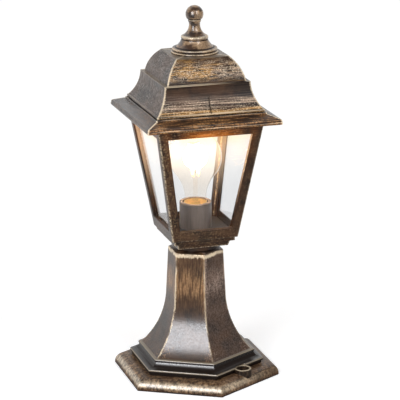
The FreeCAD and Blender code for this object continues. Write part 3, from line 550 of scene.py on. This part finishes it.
column_bronze, place = new_finish("column_bronze")
x, y, z = place.parts()
arris = six_sided_lie(x, y)
right_face = x.rise(0.0, 1.0)
left_face = (x * -1.0 / radius_of(x, y)).rise(0.84, 0.88)
front_arris = abs(x).fall(3.0, 6.0)
shaft = z.rise(FLARE_LOW + 36.0, FLARE_LOW + 72.0)
moulding = z.fall(FLARE_LOW - 0.1, FLARE_LOW + 0.4)
fleck = place.grain(FLECK, start=6.0)
stroke = place.grain((1.4, 1.4, 15.0), detail=2.0, roughness=0.5, start=3.0)
swipe = place.grain((13.0, 13.0, 26.0), start=9.0).rise(0.38, 0.62)
worn = place.grain((9.0, 9.0, 22.0), start=14.0).rise(0.36, 0.60)

copper_band = z.rise(COLUMN_TOP - 58.0, COLUMN_TOP - 38.0)
copper_band = copper_band * z.fall(COLUMN_TOP - 36.0, COLUMN_TOP - 12.0)
arris_smear = arris.fall(0.5, 5.0) * z.rise(COLUMN_TOP - 60.0, COLUMN_TOP - 36.0) * worn
front_smear = abs(x).fall(1.0, 5.0) * z.rise(FLARE_LOW + 40.0, FLARE_LOW + 60.0)
brushed = ((swipe * 0.45 + 0.35) * copper_band).most(arris_smear * 0.8) * 0.75 + shaft * 0.12 + 0.03
brushed = brushed + right_face * (1 - shaft) * 0.14 + front_smear * 0.3
mark = stroke + (fleck - stroke) * (right_face * 0.65)
brushed = (mark.rise(0.40, 0.60) * 0.6 + 0.25) * (fleck.rise(0.36, 0.60) * 0.4 + 0.75) * brushed
scuffed = fleck.rise(0.55, 0.63) * z.fall(FLARE_LOW + 5.0, FLARE_LOW + 16.0) * arris.fall(4.0, 16.0)
brushed = brushed.most(scuffed * 0.4) * (1 - moulding)

rubbed = (arris + (stroke - 0.5) * 3.6 + (fleck - 0.5) * 3.0).fall(0.2, 1.7) * (worn * 0.7 + 0.1)
rubbed = rubbed * (1 - right_face * 0.5) * (1 - front_arris * 0.35) * (1 - moulding)
# worn metal and a painted highlight: the pale band along the upper edge
worn_and_highlit_top = (z + (stroke - 0.5) * 5.0 + (swipe - 0.5) * 1.6).near(COLUMN_TOP - 2.2, 3.0)
worn_and_highlit_top = worn_and_highlit_top * (worn * 0.3 + 0.6)
# pale bead lines: wear, and on the lower bead a painted highlight
bead_lines_and_highlight = z.near(FLARE_LOW - 0.4, 0.8) * 0.25 + z.near(LOWER_BEAD, 1.1) * 0.28
rubbed = rubbed.most(worn_and_highlit_top).most(bead_lines_and_highlight) * z.fall(COLUMN_TOP - 0.4, COLUMN_TOP - 0.1)
leaf = (right_face * 0.7).mix(stroke.mix(COLUMN_COPPER, COLUMN_GOLD), RIGHT_GREY)
bead = z.near(UPPER_BEAD, 3.4).most(z.near(LOWER_BEAD, 1.8))
lacquer = (1 - shaft * (0.7 - left_face * 0.4)) * (1 - moulding) * 0.75
lacquer = lacquer + moulding * (bead * 0.95 + 0.12)
lacquer = lacquer * (1 - left_face * (0.65 - stroke.rise(0.40, 0.64) * 0.35))
show(bronze(place, brushed, rubbed, leaf, lacquer, rugged=0.6 - moulding * 0.5, gleam=0.21,
            index=1.9, umber=1 - moulding))
print("column from", COLUMN_LOW, "to", COLUMN_TOP, "mm, flare from", FLARE_LOW)

# %% [markdown]
# ## Foot bronze
#
# The foot was dabbed all over with gold and copper. Its round shoulder is pale cream, which is worn
# metal and a painted highlight in one, and the right side is kept darker as painted shade. The
# lowest two millimetres stay black as a painted contact shadow. The two screw bosses are kept dark,
# which paints the shade in their counterbores, each with a pale ring where its edge is worn. A dab
# is a blotch of noise a few millimetres wide, and a second, larger noise thins the dabs out in
# places, as a hand would.

# %% Foot bronze
FOOT_LOW, FOOT_HIGH = ends("foot")
SHOULDER = COLUMN_LOW - 5.4
BOSS_RADIUS = 9.6
BOSS_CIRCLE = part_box("foot")[1].x * 1000.0 - 12.4
BOSS_TURN = math.radians(-60.0)
FOOT_COPPER = (0.36, 0.18, 0.09, 1.0)
FOOT_GOLD = (0.56, 0.38, 0.21, 1.0)

foot_bronze, place = new_finish("foot_bronze")
x, y, z = place.parts()
towards = x * math.cos(BOSS_TURN) + y * math.sin(BOSS_TURN)
sideways = y * math.cos(BOSS_TURN) - x * math.sin(BOSS_TURN)
# painted shade: the bosses stay black, as the shade in their counterbores
shaded_boss = radius_of(abs(towards) - BOSS_CIRCLE, sideways).fall(BOSS_RADIUS + 0.1, BOSS_RADIUS + 0.7)
boss_rim = shaded_boss * z.rise(FOOT_HIGH - 0.8, FOOT_HIGH - 0.3)
fleck = place.grain((3.2, 3.2, 5.0), detail=4.0, roughness=0.7, start=8.0)
cover = place.grain((16.0, 16.0, 16.0), start=5.0).rise(0.36, 0.64)
# painted shade: the right side gets fewer dabs, less cream and less lacquer
right = x.rise(10.0, 70.0)
shoulder = z.near(SHOULDER, 4.6)
# painted contact shadow: the lowest two millimetres stay black
painted_contact_shadow = z.fall(FOOT_LOW + 1.2, FOOT_LOW + 2.6)
brushed = fleck.rise(0.38, 0.64) * (cover * 0.4 + 0.26) * (1 - right * 0.3) * (1 - shaded_boss * 0.85)
# the cream shoulder is wear and a painted highlight, fading on the shaded right
rubbed = shoulder * (fleck.rise(0.34, 0.66) * 0.4 + 0.15) * (1 - right * 0.85) * (1 - painted_contact_shadow)
rubbed = (rubbed * (1 - shaded_boss)).most(boss_rim * 0.45)
leaf = fleck.mix(FOOT_COPPER, FOOT_GOLD)
lacquer = shoulder * (0.75 - right * 0.6) * (1 - shaded_boss) + 0.08
show(bronze(place, brushed * (1 - painted_contact_shadow), rubbed, leaf, lacquer, rugged=0.6, gleam=0.27,
            index=2.0, umber=1 - shaded_boss))
print("foot from", FOOT_LOW, "to", FOOT_HIGH, "mm, bosses at", BOSS_CIRCLE)

# %% [markdown]
# ## Finial and collar bronze
#
# The finial was turned on a lathe: rings stand out between grooves. The brush gilds the rings and
# leaves the grooves black, and broad patches of gold lie on the ball and the neck. The black of the
# grooves and of the base's foot is also painted shade. The rings and grooves follow from the height
# alone, since a turned piece is the same all round, and the gold patches grow a little towards +x.
# The collar under the lantern is nearly plain black.

# %% Finial and collar bronze
FINIAL_LOW, _ = ends("finial")
FINIAL_GROOVES = ((2.9, 1.0), (6.5, 1.0), (15.2, 0.9), (37.8, 1.0))
FINIAL_BROWN = (0.40, 0.22, 0.10, 1.0)
FINIAL_GOLD = (0.70, 0.46, 0.26, 1.0)
COLLAR_COPPER = (0.40, 0.15, 0.038, 1.0)
COLLAR_GOLD = (0.56, 0.32, 0.105, 1.0)

finial_bronze, place = new_finish("finial_bronze")
x, _, z = place.parts()
up = z - FINIAL_LOW
fleck = place.grain(FLECK, roughness=0.65, start=1.5)
patch = place.grain((12.0, 12.0, 8.0), detail=2.0, roughness=0.5, start=3.5)
patch = (patch + x.rise(-8.0, 6.0) * 0.1).rise(0.44, 0.64)
# painted shade, with the hollows that the brush skips: grooves and the base's foot stay black
groove = up.fall(0.2, 0.8)
for level, reach in FINIAL_GROOVES:
    groove = groove.most(up.near(level, reach))
rings = (up.near(1.7, 0.7).most(up.near(5.1, 0.8)) * 0.8).most(up.near(18.4, 1.6))
rings = rings.most(up.near(36.6, 1.0) * 0.4)
brushed = (fleck.rise(0.36, 0.64) * 0.4 + 0.35) * (patch * 0.75 + 0.03) * (1 - groove)
rubbed = rings * (fleck.rise(0.36, 0.58) * 0.4 + 0.3) * (1 - groove)
leaf = patch.mix(FINIAL_BROWN, FINIAL_GOLD)
lacquer = 0.8 - groove * 0.75
show(bronze(place, brushed, rubbed, leaf, lacquer, rugged=0.8, metal=0.6, gleam=0.25, index=2.0,
            umber=1 - groove))

collar_black, place = new_finish("collar_black")
fleck = place.grain((1.2, 1.2, 1.2))
leaf = fleck.mix(COLLAR_COPPER, COLLAR_GOLD)
show(bronze(place, fleck.rise(0.62, 0.74) * 0.2, fleck.rise(0.7, 0.8) * 0.1, leaf, 0.5))
print("turned finishes:", finial_bronze.name, collar_black.name)

# %% [markdown]
# ## Castings with soft arrises
#
# No cast edge is a perfect corner: paint and mould leave a radius that catches the light. A solid's
# mesh arrives as loose triangles, so a copy is merged, flat runs of triangles are dissolved into
# single faces, and a Bevel modifier rounds only the edges that have room for it on both sides. A
# Weighted Normal modifier then keeps the broad faces flat to the eye. Editing the solids' own meshes
# would be shorter, but those stay as they were packed.

# %% Rounding helpers
MERGE_DISTANCE = 2e-6
FLAT_ANGLE = math.radians(0.3)
ROOM_FOR_ROUNDING = 2.5


def merged_copy(node):
    """The solid's mesh with its loose triangles merged and its flat faces whole."""
    shape = bmesh.new()
    shape.from_mesh(nodes[node].data)
    bmesh.ops.remove_doubles(shape, verts=shape.verts, dist=MERGE_DISTANCE)
    bmesh.ops.dissolve_limit(shape, angle_limit=FLAT_ANGLE, verts=shape.verts, edges=shape.edges)
    return shape


def mark_edges(shape, width, corner):
    """Marks the sharp edges whose faces are both wide enough for a rounding of that width."""
    weight = shape.edges.layers.float.new("bevel_weight_edge")
    marked = 0
    for edge in shape.edges:
        if len(edge.link_faces) != 2 or edge.calc_face_angle(0.0) < corner:
            continue
        room = min(face.calc_area() / edge.calc_length() for face in edge.link_faces)
        if room > ROOM_FOR_ROUNDING * width:
            edge[weight] = 1.0
            marked += 1
    return marked


def settled(piece):
    """Turns a piece and its modifiers into a plain mesh."""
    graph = bpy.context.evaluated_depsgraph_get()
    mesh = bpy.data.meshes.new_from_object(piece.evaluated_get(graph))
    piece.modifiers.clear()
    piece.data = mesh


def stand_in(piece, node, body):
    """Puts a finished piece in the place of a solid."""
    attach(piece, body)
    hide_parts(node)


print("rounding needs", ROOM_FOR_ROUNDING, "times its width on both sides of an edge")

# %% [markdown]
# ## The castings
#
# Every casting gets such a copy, with a rounding in metres that suits its size: most on the roof and
# the column, least on the turned finial. The same function serves the smaller pieces further down,
# and those that are too fine for a rounding keep their edges.

# %% Rounded copies
CORNER = math.radians(35.0)


def rounded(node, finish, width=0.0, body="lantern"):
    """A copy of a solid with its arrises rounded by that width in metres, in place of the solid."""
    shape = merged_copy(node)
    marked = mark_edges(shape, width, CORNER) if width else 0
    mesh = bpy.data.meshes.new(node + "_skin")
    shape.to_mesh(mesh)
    shape.free()
    mesh.materials.append(finish)
    piece = bpy.data.objects.new(node + "_skin", mesh)
    scene.collection.objects.link(piece)
    mesh.shade_smooth()
    if marked:
        bevel = piece.modifiers.new("arris", "BEVEL")
        bevel.limit_method = "WEIGHT"
        bevel.width = width
        bevel.segments = 2
        bevel.use_clamp_overlap = False
        settled(piece)
    piece.data.set_sharp_from_angle(angle=CORNER)
    level_faces = piece.modifiers.new("level_faces", "WEIGHTED_NORMAL")
    level_faces.keep_sharp = True
    settled(piece)
    stand_in(piece, node, body)
    print(f"{node}: {marked} edges rounded, {len(piece.data.polygons)} faces")


rounded("foot", foot_bronze, width=0.0007)
rounded("column", column_bronze, width=0.0007)
rounded("neck_collar", collar_black, width=0.0004)
rounded("cage", cage_bronze, width=0.0005)
rounded("eave_frame", eave_bronze, width=0.0004)
rounded("roof", roof_bronze, width=0.0009, body="roof")
rounded("finial", finial_bronze, width=0.0003, body="finial")

# %% [markdown]
# ## Panes and bulb glass
#
# Window glass shows itself by what it mirrors and by a faint tint: cold in the lower part of a pane,
# and warm above, which is painted lamplight, with a painted orange glow under the head rail. Full
# transmission with a small refraction does this, but refraction also stops lamplight, because Cycles
# doesn't trace light through it in a straight line.
# So for shadow rays alone the glass turns into a plain transparent shader, and the lamp shines out.
# The bulb's glass is washed out by its own light in the upper half, which a glow that rises with
# height gives, and a fainter halo lies on the panes in front of it.

# %% Glass
PANE_INDEX = 1.25
PANE_COLD = (0.886, 0.890, 0.896, 1.0)
PANE_LAMPLIT = (0.975, 0.925, 0.890, 1.0)
PANE_GLOW_FRINGE = (1.0, 0.90, 0.70, 1.0)
PANE_SHADOW = (0.94, 0.95, 0.97, 1.0)
HALO = (0.30, 0.265, 0.21, 1.0)
HALO_REACH = 58.0
HALO_STRENGTH = 0.22
BULB_INDEX = 1.01
BULB_CLEAR = (0.995, 0.98, 0.96, 1.0)
BULB_TEA = (0.97, 0.92, 0.86, 1.0)
BULB_HAZE = (1.0, 0.90, 0.74, 1.0)
HAZE_STRENGTH = 0.15


def lets_lamps_through(place, glass, tint):
    """The glass for sight, and a clear film for light on its way from a lamp."""
    clear = place.node("ShaderNodeBsdfTransparent", None, {"Color": tint})
    shadow = place.node("ShaderNodeLightPath", output="Is Shadow Ray")
    return place.node("ShaderNodeMixShader", None, {0: shadow, 1: glass, 2: clear})


def glass_shader(place, tint, rough, index, glow, strength):
    """Clear glass that also glows a little."""
    return place.node("ShaderNodeBsdfPrincipled", None, {
        "Base Color": tint, "Roughness": rough, "Transmission Weight": 1.0, "IOR": index,
        "Emission Color": glow, "Emission Strength": strength}, output="BSDF")


pane_glass, place = new_finish("pane_glass")
x, y, z = place.parts()
_, along, _ = square_lie(x, y)
smear = place.grain((14.0, 14.0, 22.0), detail=4.0).rise(0.52, 0.75)
# painted lamplight: the tint warms towards the lamp, with a little smear in it
warm = smear * 0.1 + z.rise(HEAD - 44.0, HEAD - 20.0) * 0.9
# painted glow: an orange fringe under the head rail
glow_fringe = z.rise(HEAD - 16.0, HEAD - 1.0) * abs(along).fall(24.0, 56.0)
tint = glow_fringe.mix(warm.mix(PANE_COLD, PANE_LAMPLIT), PANE_GLOW_FRINGE)
halo = radius_of(along, z - LAMP_LEVEL).fall(0.0, HALO_REACH).mix(NO_LIGHT, HALO)
glass = glass_shader(place, tint, smear * 0.03 + 0.005, PANE_INDEX, halo, HALO_STRENGTH)
show(lets_lamps_through(place, glass, PANE_SHADOW))

bulb_glass, place = new_finish("bulb_glass")
_, _, z = place.parts()
haze = z.rise(BULB_LOW + 26.0, BULB_LOW + 78.0).mix(NO_LIGHT, BULB_HAZE)
wave = place.grain((9.0, 9.0, 30.0)) * 0.5 + z.rise(BULB_LOW + 8.0, BULB_LOW + 44.0) * 0.5
tint = wave.mix(BULB_CLEAR, BULB_TEA)
glass = glass_shader(place, tint, wave * 0.02, BULB_INDEX, haze, HAZE_STRENGTH)
show(lets_lamps_through(place, glass, WHITE))

for side in ("front", "right", "back", "left"):
    rounded("pane_" + side, pane_glass, width=0.0004)
for node in ("bulb_glass", "bulb_stem"):
    rounded(node, bulb_glass)

# %% [markdown]
# ## The light itself
#
# Four glowing sticks stand round the bulb's stem, dimmer at their lower ends, so that the stem can be
# made out. A mesh that shines lights its surroundings with a lot of noise, so the sticks only look
# bright, and a small warm lamp at the middle of the bulb does the lighting.

# %% Filaments and lamp
FILAMENT_LOW, _ = ends("bulb_filaments")
CHIP_PITCH = 1.6
PHOSPHOR_GAP = (1.0, 0.50, 0.14, 1.0)
PHOSPHOR_CHIP = (1.0, 0.78, 0.42, 1.0)
LOWER_END = (0.05, 0.032, 0.015, 1.0)
FILAMENT_STRENGTH = 9.0
BULB_POWER = 0.25
BULB_COLOUR = (1.0, 0.66, 0.34)
BULB_LIGHT_RADIUS = 0.016
BELOW_BULB_TOP = 0.03

filament_glow, place = new_finish("filament_glow")
_, _, z = place.parts()
chips = (z / CHIP_PITCH % 1.0).near(0.5, 0.6)
phosphor = chips.mix(PHOSPHOR_GAP, PHOSPHOR_CHIP)
bright = z.rise(FILAMENT_LOW - 2.0, FILAMENT_LOW + 18.0).mix(LOWER_END, phosphor)
show(place.node("ShaderNodeBsdfPrincipled", None, {
    "Base Color": phosphor, "Roughness": chips * 0.2 + 0.3, "Emission Color": bright,
    "Emission Strength": FILAMENT_STRENGTH}, output="BSDF"))
rounded("bulb_filaments", filament_glow, width=0.0002)

bulb_lamp = bpy.data.lights.new("bulb_light", "POINT")
bulb_lamp.energy = BULB_POWER
bulb_lamp.color = BULB_COLOUR
bulb_lamp.shadow_soft_size = BULB_LIGHT_RADIUS
bulb_light = bpy.data.objects.new("bulb_light", bulb_lamp)
bulb_light.location = (0.0, 0.0, BULB_TOP / 1000.0 - BELOW_BULB_TOP)
bulb_light.visible_camera = False
scene.collection.objects.link(bulb_light)
print("lamp of", BULB_POWER, "W at", list(bulb_light.location))

# %% [markdown]
# ## Trees that make meshes
#
# Threads and screws follow a rule, so a Geometry Nodes tree makes them from a few sizes. Pushing
# vertices about in Python would do as well, but a tree can be run again with other sizes, and one
# tree can stand inside another. Every tree starts with named inputs and ends the same way: instances
# become real faces, and the finish is put on them.

# %% Tree helpers
def new_tree(name, numbers):
    """A Geometry Nodes tree with named inputs for its sizes and its finish."""
    tree = bpy.data.node_groups.new(name, "GeometryNodeTree")
    inputs = [("Geometry", "NodeSocketGeometry")]
    inputs += [(number, "NodeSocketFloat") for number in numbers]
    inputs += [("Finish", "NodeSocketMaterial")]
    for label, kind in inputs:
        tree.interface.new_socket(label, in_out="INPUT", socket_type=kind)
    tree.interface.new_socket("Geometry", in_out="OUTPUT", socket_type="NodeSocketGeometry")
    given = Tone(tree).node("NodeGroupInput")
    return tree, given, [given.other(number) for number in numbers]


def close_tree(made, given):
    """Ends a tree: real faces in the place of instances, and the finish on them."""
    real = made.node("GeometryNodeRealizeInstances", None, {"Geometry": made})
    finish = given.other("Finish")
    coated = made.node("GeometryNodeSetMaterial", None, {"Geometry": real, "Material": finish})
    made.node("NodeGroupOutput", None, {"Geometry": coated})


def point_at(given, **axes):
    """A vector from its parts."""
    return given.node("ShaderNodeCombineXYZ", None, axes)


print("a tree is started by", new_tree.__name__, "and ended by", close_tree.__name__)

# %% [markdown]
# ## Threads that wind
#
# The bulb's cap, the clamping tube and the finial's stud have real screw threads. Rings stacked up
# would look like a thread from afar, but a thread is one groove that climbs. The tree wraps a grid
# into a tube: across the grid is the way round, up the grid is the height, and the radius dips where
# height over pitch minus the part of the turn is half way between two crests. The last rows of the
# grid go back down inside, so one tree makes a rod, a tube or a cup.

# %% Thread tree
THREAD_SIZES = ("Radius", "Depth", "Pitch", "Low", "High", "Bore", "Floor", "Core", "Sides")
ROWS_PER_TURN = 8.0
CLOSING_ROWS = 5

thread_tree, given, sizes = new_tree("screw_thread", THREAD_SIZES)
radius, depth, pitch, low, high, bore, bottom, core, sides = sizes
last = ((high - low) / pitch * ROWS_PER_TURN).ceiling() + float(CLOSING_ROWS)
grid = given.node("GeometryNodeMeshGrid", None, {
    "Size X": 1.0, "Size Y": 1.0, "Vertices X": sides + 1.0, "Vertices Y": last + 1.0})
across, up, _ = given.node("GeometryNodeInputPosition").parts()
row = (up + 0.5) * last
turn = across + 0.5
past = [row > last - (CLOSING_ROWS - 0.5 - step) for step in range(CLOSING_ROWS)]
inside, at_floor, at_core, below, closing = past
height = low + (high - low) * (row / (last - float(CLOSING_ROWS))).least(1.0)
height = height + (bottom - high) * at_floor + (low - bottom) * below
crest = (abs((height / pitch - turn) % 1.0 - 0.5) * 2.0).rise(0.1, 0.9)
lead_in = (height - low).rise(0.0, pitch) * (high - height).rise(0.0, pitch)
outer = radius - depth * (1 - crest * lead_in)
reach = outer * (1 - inside + closing) + bore * (inside - at_core) + core * (at_core - closing)
angle = turn * math.tau
point = point_at(given, X=reach * angle.cosine(), Y=reach * angle.sine(), Z=height)
wound = given.node("GeometryNodeSetPosition", None, {"Geometry": grid, "Position": point})
closed = given.node("GeometryNodeMergeByDistance", None, {"Geometry": wound, "Distance": 1e-6})
close_tree(closed, given)
print("thread tree:", len(thread_tree.nodes), "nodes")

# %% [markdown]
# ## Metals and plastics of the fittings
#
# Brass, plated steel and the cap's tinplate differ by colour and by how sharply they mirror. Each
# gets fine marks from handling: short scratches as stretched noise in the roughness, and a little
# tarnish in the colour. What sits right under the lamp also glows a little in its light. Plastic and
# rubber have a fine moulded skin, and streaks where the melt flowed.

# %% Fitting finishes
LIT = 0.55
BRASS = ((0.78, 0.53, 0.22, 1.0), (0.46, 0.28, 0.11, 1.0))
STEEL = ((0.62, 0.61, 0.58, 1.0), (0.38, 0.35, 0.31, 1.0))
TINPLATE = ((0.76, 0.52, 0.24, 1.0), (0.55, 0.36, 0.16, 1.0))


def fitting_metal(name, colours, rough, lit=0.0):
    """Metal with handling marks; lit is how much it glows in the light of the lamp over it."""
    finish, place = new_finish(name)
    mark = place.grain((0.35, 0.35, 3.0))
    stain = place.grain((5.0, 5.0, 5.0), start=2.0).rise(0.48, 0.7)
    colour = stain.mix(*colours)
    show(place.node("ShaderNodeBsdfPrincipled", None, {
        "Base Color": colour, "Metallic": 1.0,
        "Roughness": (mark - 0.5) * 0.4 + stain * 0.12 + rough,
        "Emission Color": colour, "Emission Strength": lit,
        "Normal": relief(mark, 0.00005)}, output="BSDF"))
    return finish


def moulded(name, colour, streak, rough):
    """Plastic or rubber with a fine moulded skin."""
    finish, place = new_finish(name)
    skin = place.grain((0.6, 0.6, 0.6), detail=2.0)
    flow = place.grain((2.5, 2.5, 26.0), detail=4.0, start=3.0).rise(0.3, 0.7)
    show(place.node("ShaderNodeBsdfPrincipled", None, {
        "Base Color": flow.mix(colour + (1.0,), streak + (1.0,)),
        "Roughness": (skin - 0.5) * 0.25 + rough,
        "Normal": relief(skin, 0.00004)}, output="BSDF"))
    return finish


brass = fitting_metal("brass", BRASS, 0.28)
lit_brass = fitting_metal("lit_brass", BRASS, 0.28, LIT)
steel = fitting_metal("plated_steel", STEEL, 0.34)
tinplate = fitting_metal("cap_tinplate", TINPLATE, 0.30, LIT)
holder_plastic = moulded("holder_plastic", (0.10, 0.078, 0.064), (0.14, 0.11, 0.09), 0.36)
floor_paint = moulded("floor_paint", (0.030, 0.028, 0.027), (0.040, 0.037, 0.035), 0.48)
insulator_black = moulded("insulator_black", (0.012, 0.012, 0.013), (0.022, 0.021, 0.020), 0.22)
seal_rubber = moulded("seal_rubber", (0.016, 0.016, 0.017), (0.028, 0.027, 0.026), 0.62)
terminal_plastic = moulded("terminal_plastic", (0.66, 0.66, 0.63), (0.58, 0.57, 0.53), 0.45)
wire_brown = moulded("wire_brown", (0.15, 0.055, 0.022), (0.11, 0.042, 0.018), 0.42)
wire_blue = moulded("wire_blue", (0.03, 0.13, 0.42), (0.025, 0.10, 0.34), 0.42)
wire_green = moulded("wire_green", (0.05, 0.26, 0.06), (0.62, 0.55, 0.06), 0.42)
print("finishes so far:", len(bpy.data.materials))

# %% [markdown]
# ## Threaded pieces
#
# Each threaded piece takes its ends from the box of the solid that it stands for, and its pitch from
# the standard size: 3.6 mm for the bulb's cap, 1 mm for the stud and the clamping tube.

# %% Cap, tube and stud
CAP_BORE = 0.0124
CAP_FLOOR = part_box("bulb_cap")[0].z + 0.0012
TUBE_BORE = 0.0038
SMOOTH_ANGLE = math.radians(50.0)


def grown(name, tree, values, points=()):
    """Runs a tree once on an object that holds only points, and keeps its result as a plain mesh."""
    seed = bpy.data.meshes.new(name)
    seed.from_pydata([tuple(point) for point in points], [], [])
    piece = bpy.data.objects.new(name, seed)
    scene.collection.objects.link(piece)
    growth = piece.modifiers.new(name, "NODES")
    growth.node_group = tree
    for item in tree.interface.items_tree:
        if item.in_out == "INPUT" and item.name in values:
            growth[item.identifier] = values[item.name]
    settled(piece)
    piece.data.shade_smooth()
    piece.data.set_sharp_from_angle(angle=SMOOTH_ANGLE)
    return piece


def threaded(node, body, finish, depth, pitch, bore=0.0, bottom=None, core=None, sides=40):
    """A rod, tube or cup with a thread, in place of a solid. All lengths are in metres."""
    lowest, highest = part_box(node)
    values = {
        "Radius": (highest.x - lowest.x) / 2, "Depth": depth, "Pitch": pitch,
        "Low": lowest.z, "High": highest.z, "Bore": bore,
        "Floor": lowest.z if bottom is None else bottom, "Core": bore if core is None else core,
        "Sides": float(sides), "Finish": finish}
    piece = grown(node + "_thread", thread_tree, values)
    stand_in(piece, node, body)
    print(f"{node}: thread of {pitch * 1000:.1f} mm pitch, {len(piece.data.polygons)} faces")


threaded("bulb_cap", "lantern", tinplate, depth=0.0005, pitch=0.0036, bore=CAP_BORE,
         bottom=CAP_FLOOR, core=0.0, sides=64)
threaded("threaded_tube", "lantern", steel, depth=0.0006, pitch=0.001, bore=TUBE_BORE)
threaded("finial_stud", "finial", steel, depth=0.0006, pitch=0.001)

# %% [markdown]
# ## Screws in rows
#
# The eave frame, the strap and the column are each held by a few equal screws. One tree makes a
# screw, with the thread tree inside it for the shank and a domed, slotted head, and sets a copy on
# every point that it is given. A turn of half a circle points the column's screws upwards.

# %% Screw tree
SCREW_SIZES = ("Radius", "Length", "Head Radius", "Head Height", "Slot", "Half Turns")
SHANK_DEPTH_SHARE = 0.22
SHANK_PITCH_SHARE = 0.5
INTO_HEAD = 0.0002

screw_tree, given, sizes = new_tree("pan_screws", SCREW_SIZES)
radius, length, head_radius, head_height, slot_width, half_turns = sizes
shank = given.node("GeometryNodeGroup", {"node_tree": thread_tree}, {
    "Radius": radius, "Depth": radius * SHANK_DEPTH_SHARE, "Pitch": radius * SHANK_PITCH_SHARE,
    "Low": length * -1.0, "High": INTO_HEAD, "Bore": 0.0, "Floor": 0.0, "Core": 0.0, "Sides": 20.0})
disc = given.node("GeometryNodeMeshCylinder", {"fill_type": "TRIANGLE_FAN"}, {
    "Vertices": 28, "Side Segments": 2, "Fill Segments": 4, "Radius": head_radius,
    "Depth": head_height * 0.5})
x, y, z = given.node("GeometryNodeInputPosition").parts()
crown = (1 - (x * x + y * y) / (head_radius * head_radius)) * head_height * 0.5 * (z > 0.0)
lift = point_at(given, Z=crown + head_height * 0.25)
domed = given.node("GeometryNodeSetPosition", None, {"Geometry": disc, "Offset": lift})
slot_size = point_at(given, X=head_radius * 2.4, Y=slot_width, Z=head_height)
blade = given.node("GeometryNodeMeshCube", None, {"Size": slot_size})
slot_place = point_at(given, Z=head_height)
blade = given.node("GeometryNodeTransform", None, {"Geometry": blade, "Translation": slot_place})
head = given.node("GeometryNodeMeshBoolean", {"operation": "DIFFERENCE"},
                  {"Mesh 1": domed, "Mesh 2": blade})
whole = given.node("GeometryNodeJoinGeometry", None, {"Geometry": shank})
whole.tree.links.new(head.socket, whole.socket.node.inputs["Geometry"])
facing = point_at(given, X=half_turns * math.pi)
copies = given.node("GeometryNodeInstanceOnPoints", None,
                    {"Points": given, "Instance": whole, "Rotation": facing})
close_tree(copies, given)
print("screw tree:", len(screw_tree.nodes), "nodes")

# %% [markdown]
# ## Where the screws stand
#
# The points come from the boxes of the solids: the reach of a set of screws is the box's edge less
# the radius of a head, and the seat is its end less the height of a head. So a change to the solids
# moves the screws with it.

# %% Screws
EAVE_SCREW = 0.0015
STRAP_SCREW = 0.0017
COLUMN_SCREW = 0.0017
HEAD_RADIUS_SHARE = 1.75
HEAD_HEIGHT_SHARE = 1.3
SLOT_SHARE = 0.5


def screws(node, points, radius, length, upwards=False):
    """A set of equal screws with their heads' seats at the points, in place of a solid."""
    values = {
        "Radius": radius, "Length": length, "Head Radius": radius * HEAD_RADIUS_SHARE,
        "Head Height": radius * HEAD_HEIGHT_SHARE, "Slot": radius * SLOT_SHARE,
        "Half Turns": 1.0 if upwards else 0.0, "Finish": steel}
    piece = grown(node + "_set", screw_tree, values, points)
    stand_in(piece, node, "lantern")
    print(f"{node}: {len(points)} screws, {len(piece.data.polygons)} faces")


lowest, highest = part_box("eave_screws")
reach = highest.x - EAVE_SCREW * HEAD_RADIUS_SHARE
seat = highest.z - EAVE_SCREW * HEAD_HEIGHT_SHARE
corners = [(sx * reach, sy * reach, seat) for sx in (-1, 1) for sy in (-1, 1)]
screws("eave_screws", corners, EAVE_SCREW, seat - lowest.z)

lowest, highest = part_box("strap_screws")
reach = highest.x - STRAP_SCREW * HEAD_RADIUS_SHARE
seat = highest.z - STRAP_SCREW * HEAD_HEIGHT_SHARE
pair = [(-reach, 0.0, seat), (reach, 0.0, seat)]
screws("strap_screws", pair, STRAP_SCREW, seat - lowest.z)

lowest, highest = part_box("column_screws")
reach = -lowest.y - COLUMN_SCREW * HEAD_RADIUS_SHARE
seat = lowest.z + COLUMN_SCREW * HEAD_HEIGHT_SHARE
turns = [math.radians(bearing) for bearing in (30, 150, 270)]
ring = [(reach * math.cos(turn), reach * math.sin(turn), seat) for turn in turns]
screws("column_screws", ring, COLUMN_SCREW, highest.z - seat, upwards=True)

# %% [markdown]
# ## What else is inside
#
# The lamp holder and the floor plate show through the panes, so they get rounded copies. The strap,
# nuts and washers show when the roof is lifted off or from below. Small pieces deep in the column
# keep their solids as they are, with a finish of their own.

# %% Inner pieces
rounded("lamp_holder", holder_plastic, width=0.0004)
rounded("floor_plate", floor_paint, width=0.0003)
rounded("holder_shell", lit_brass)
rounded("bulb_supports", steel)
for node in ("roof_strap", "roof_nut", "lower_nut", "upper_nut", "lower_washer"):
    rounded(node, steel, width=0.0003)


def coat(finish, *names):
    """Gives solids that stay as they are their finish."""
    for name in names:
        for holder in nodes[name].material_slots:
            holder.material = finish
    print(finish.name, "on", ", ".join(names))


coat(brass, "holder_contact", "bulb_button", "terminal_screws", "earth_screw")
coat(steel, "block_screw", "stud_clip")
coat(insulator_black, "bulb_insulator")
coat(seal_rubber, "roof_gasket", "finial_seal")
coat(terminal_plastic, "terminal_block")
coat(wire_brown, "live_wire")
coat(wire_blue, "neutral_wire")
coat(wire_green, "earth_wire")

# %% [markdown]
# ## Last: the picture
#
# The dressed lantern has to fit the solids' box. The view transform is plain, so that a colour
# comes out as it was written.

# %% Finish
scene.view_settings.view_transform = "Standard"
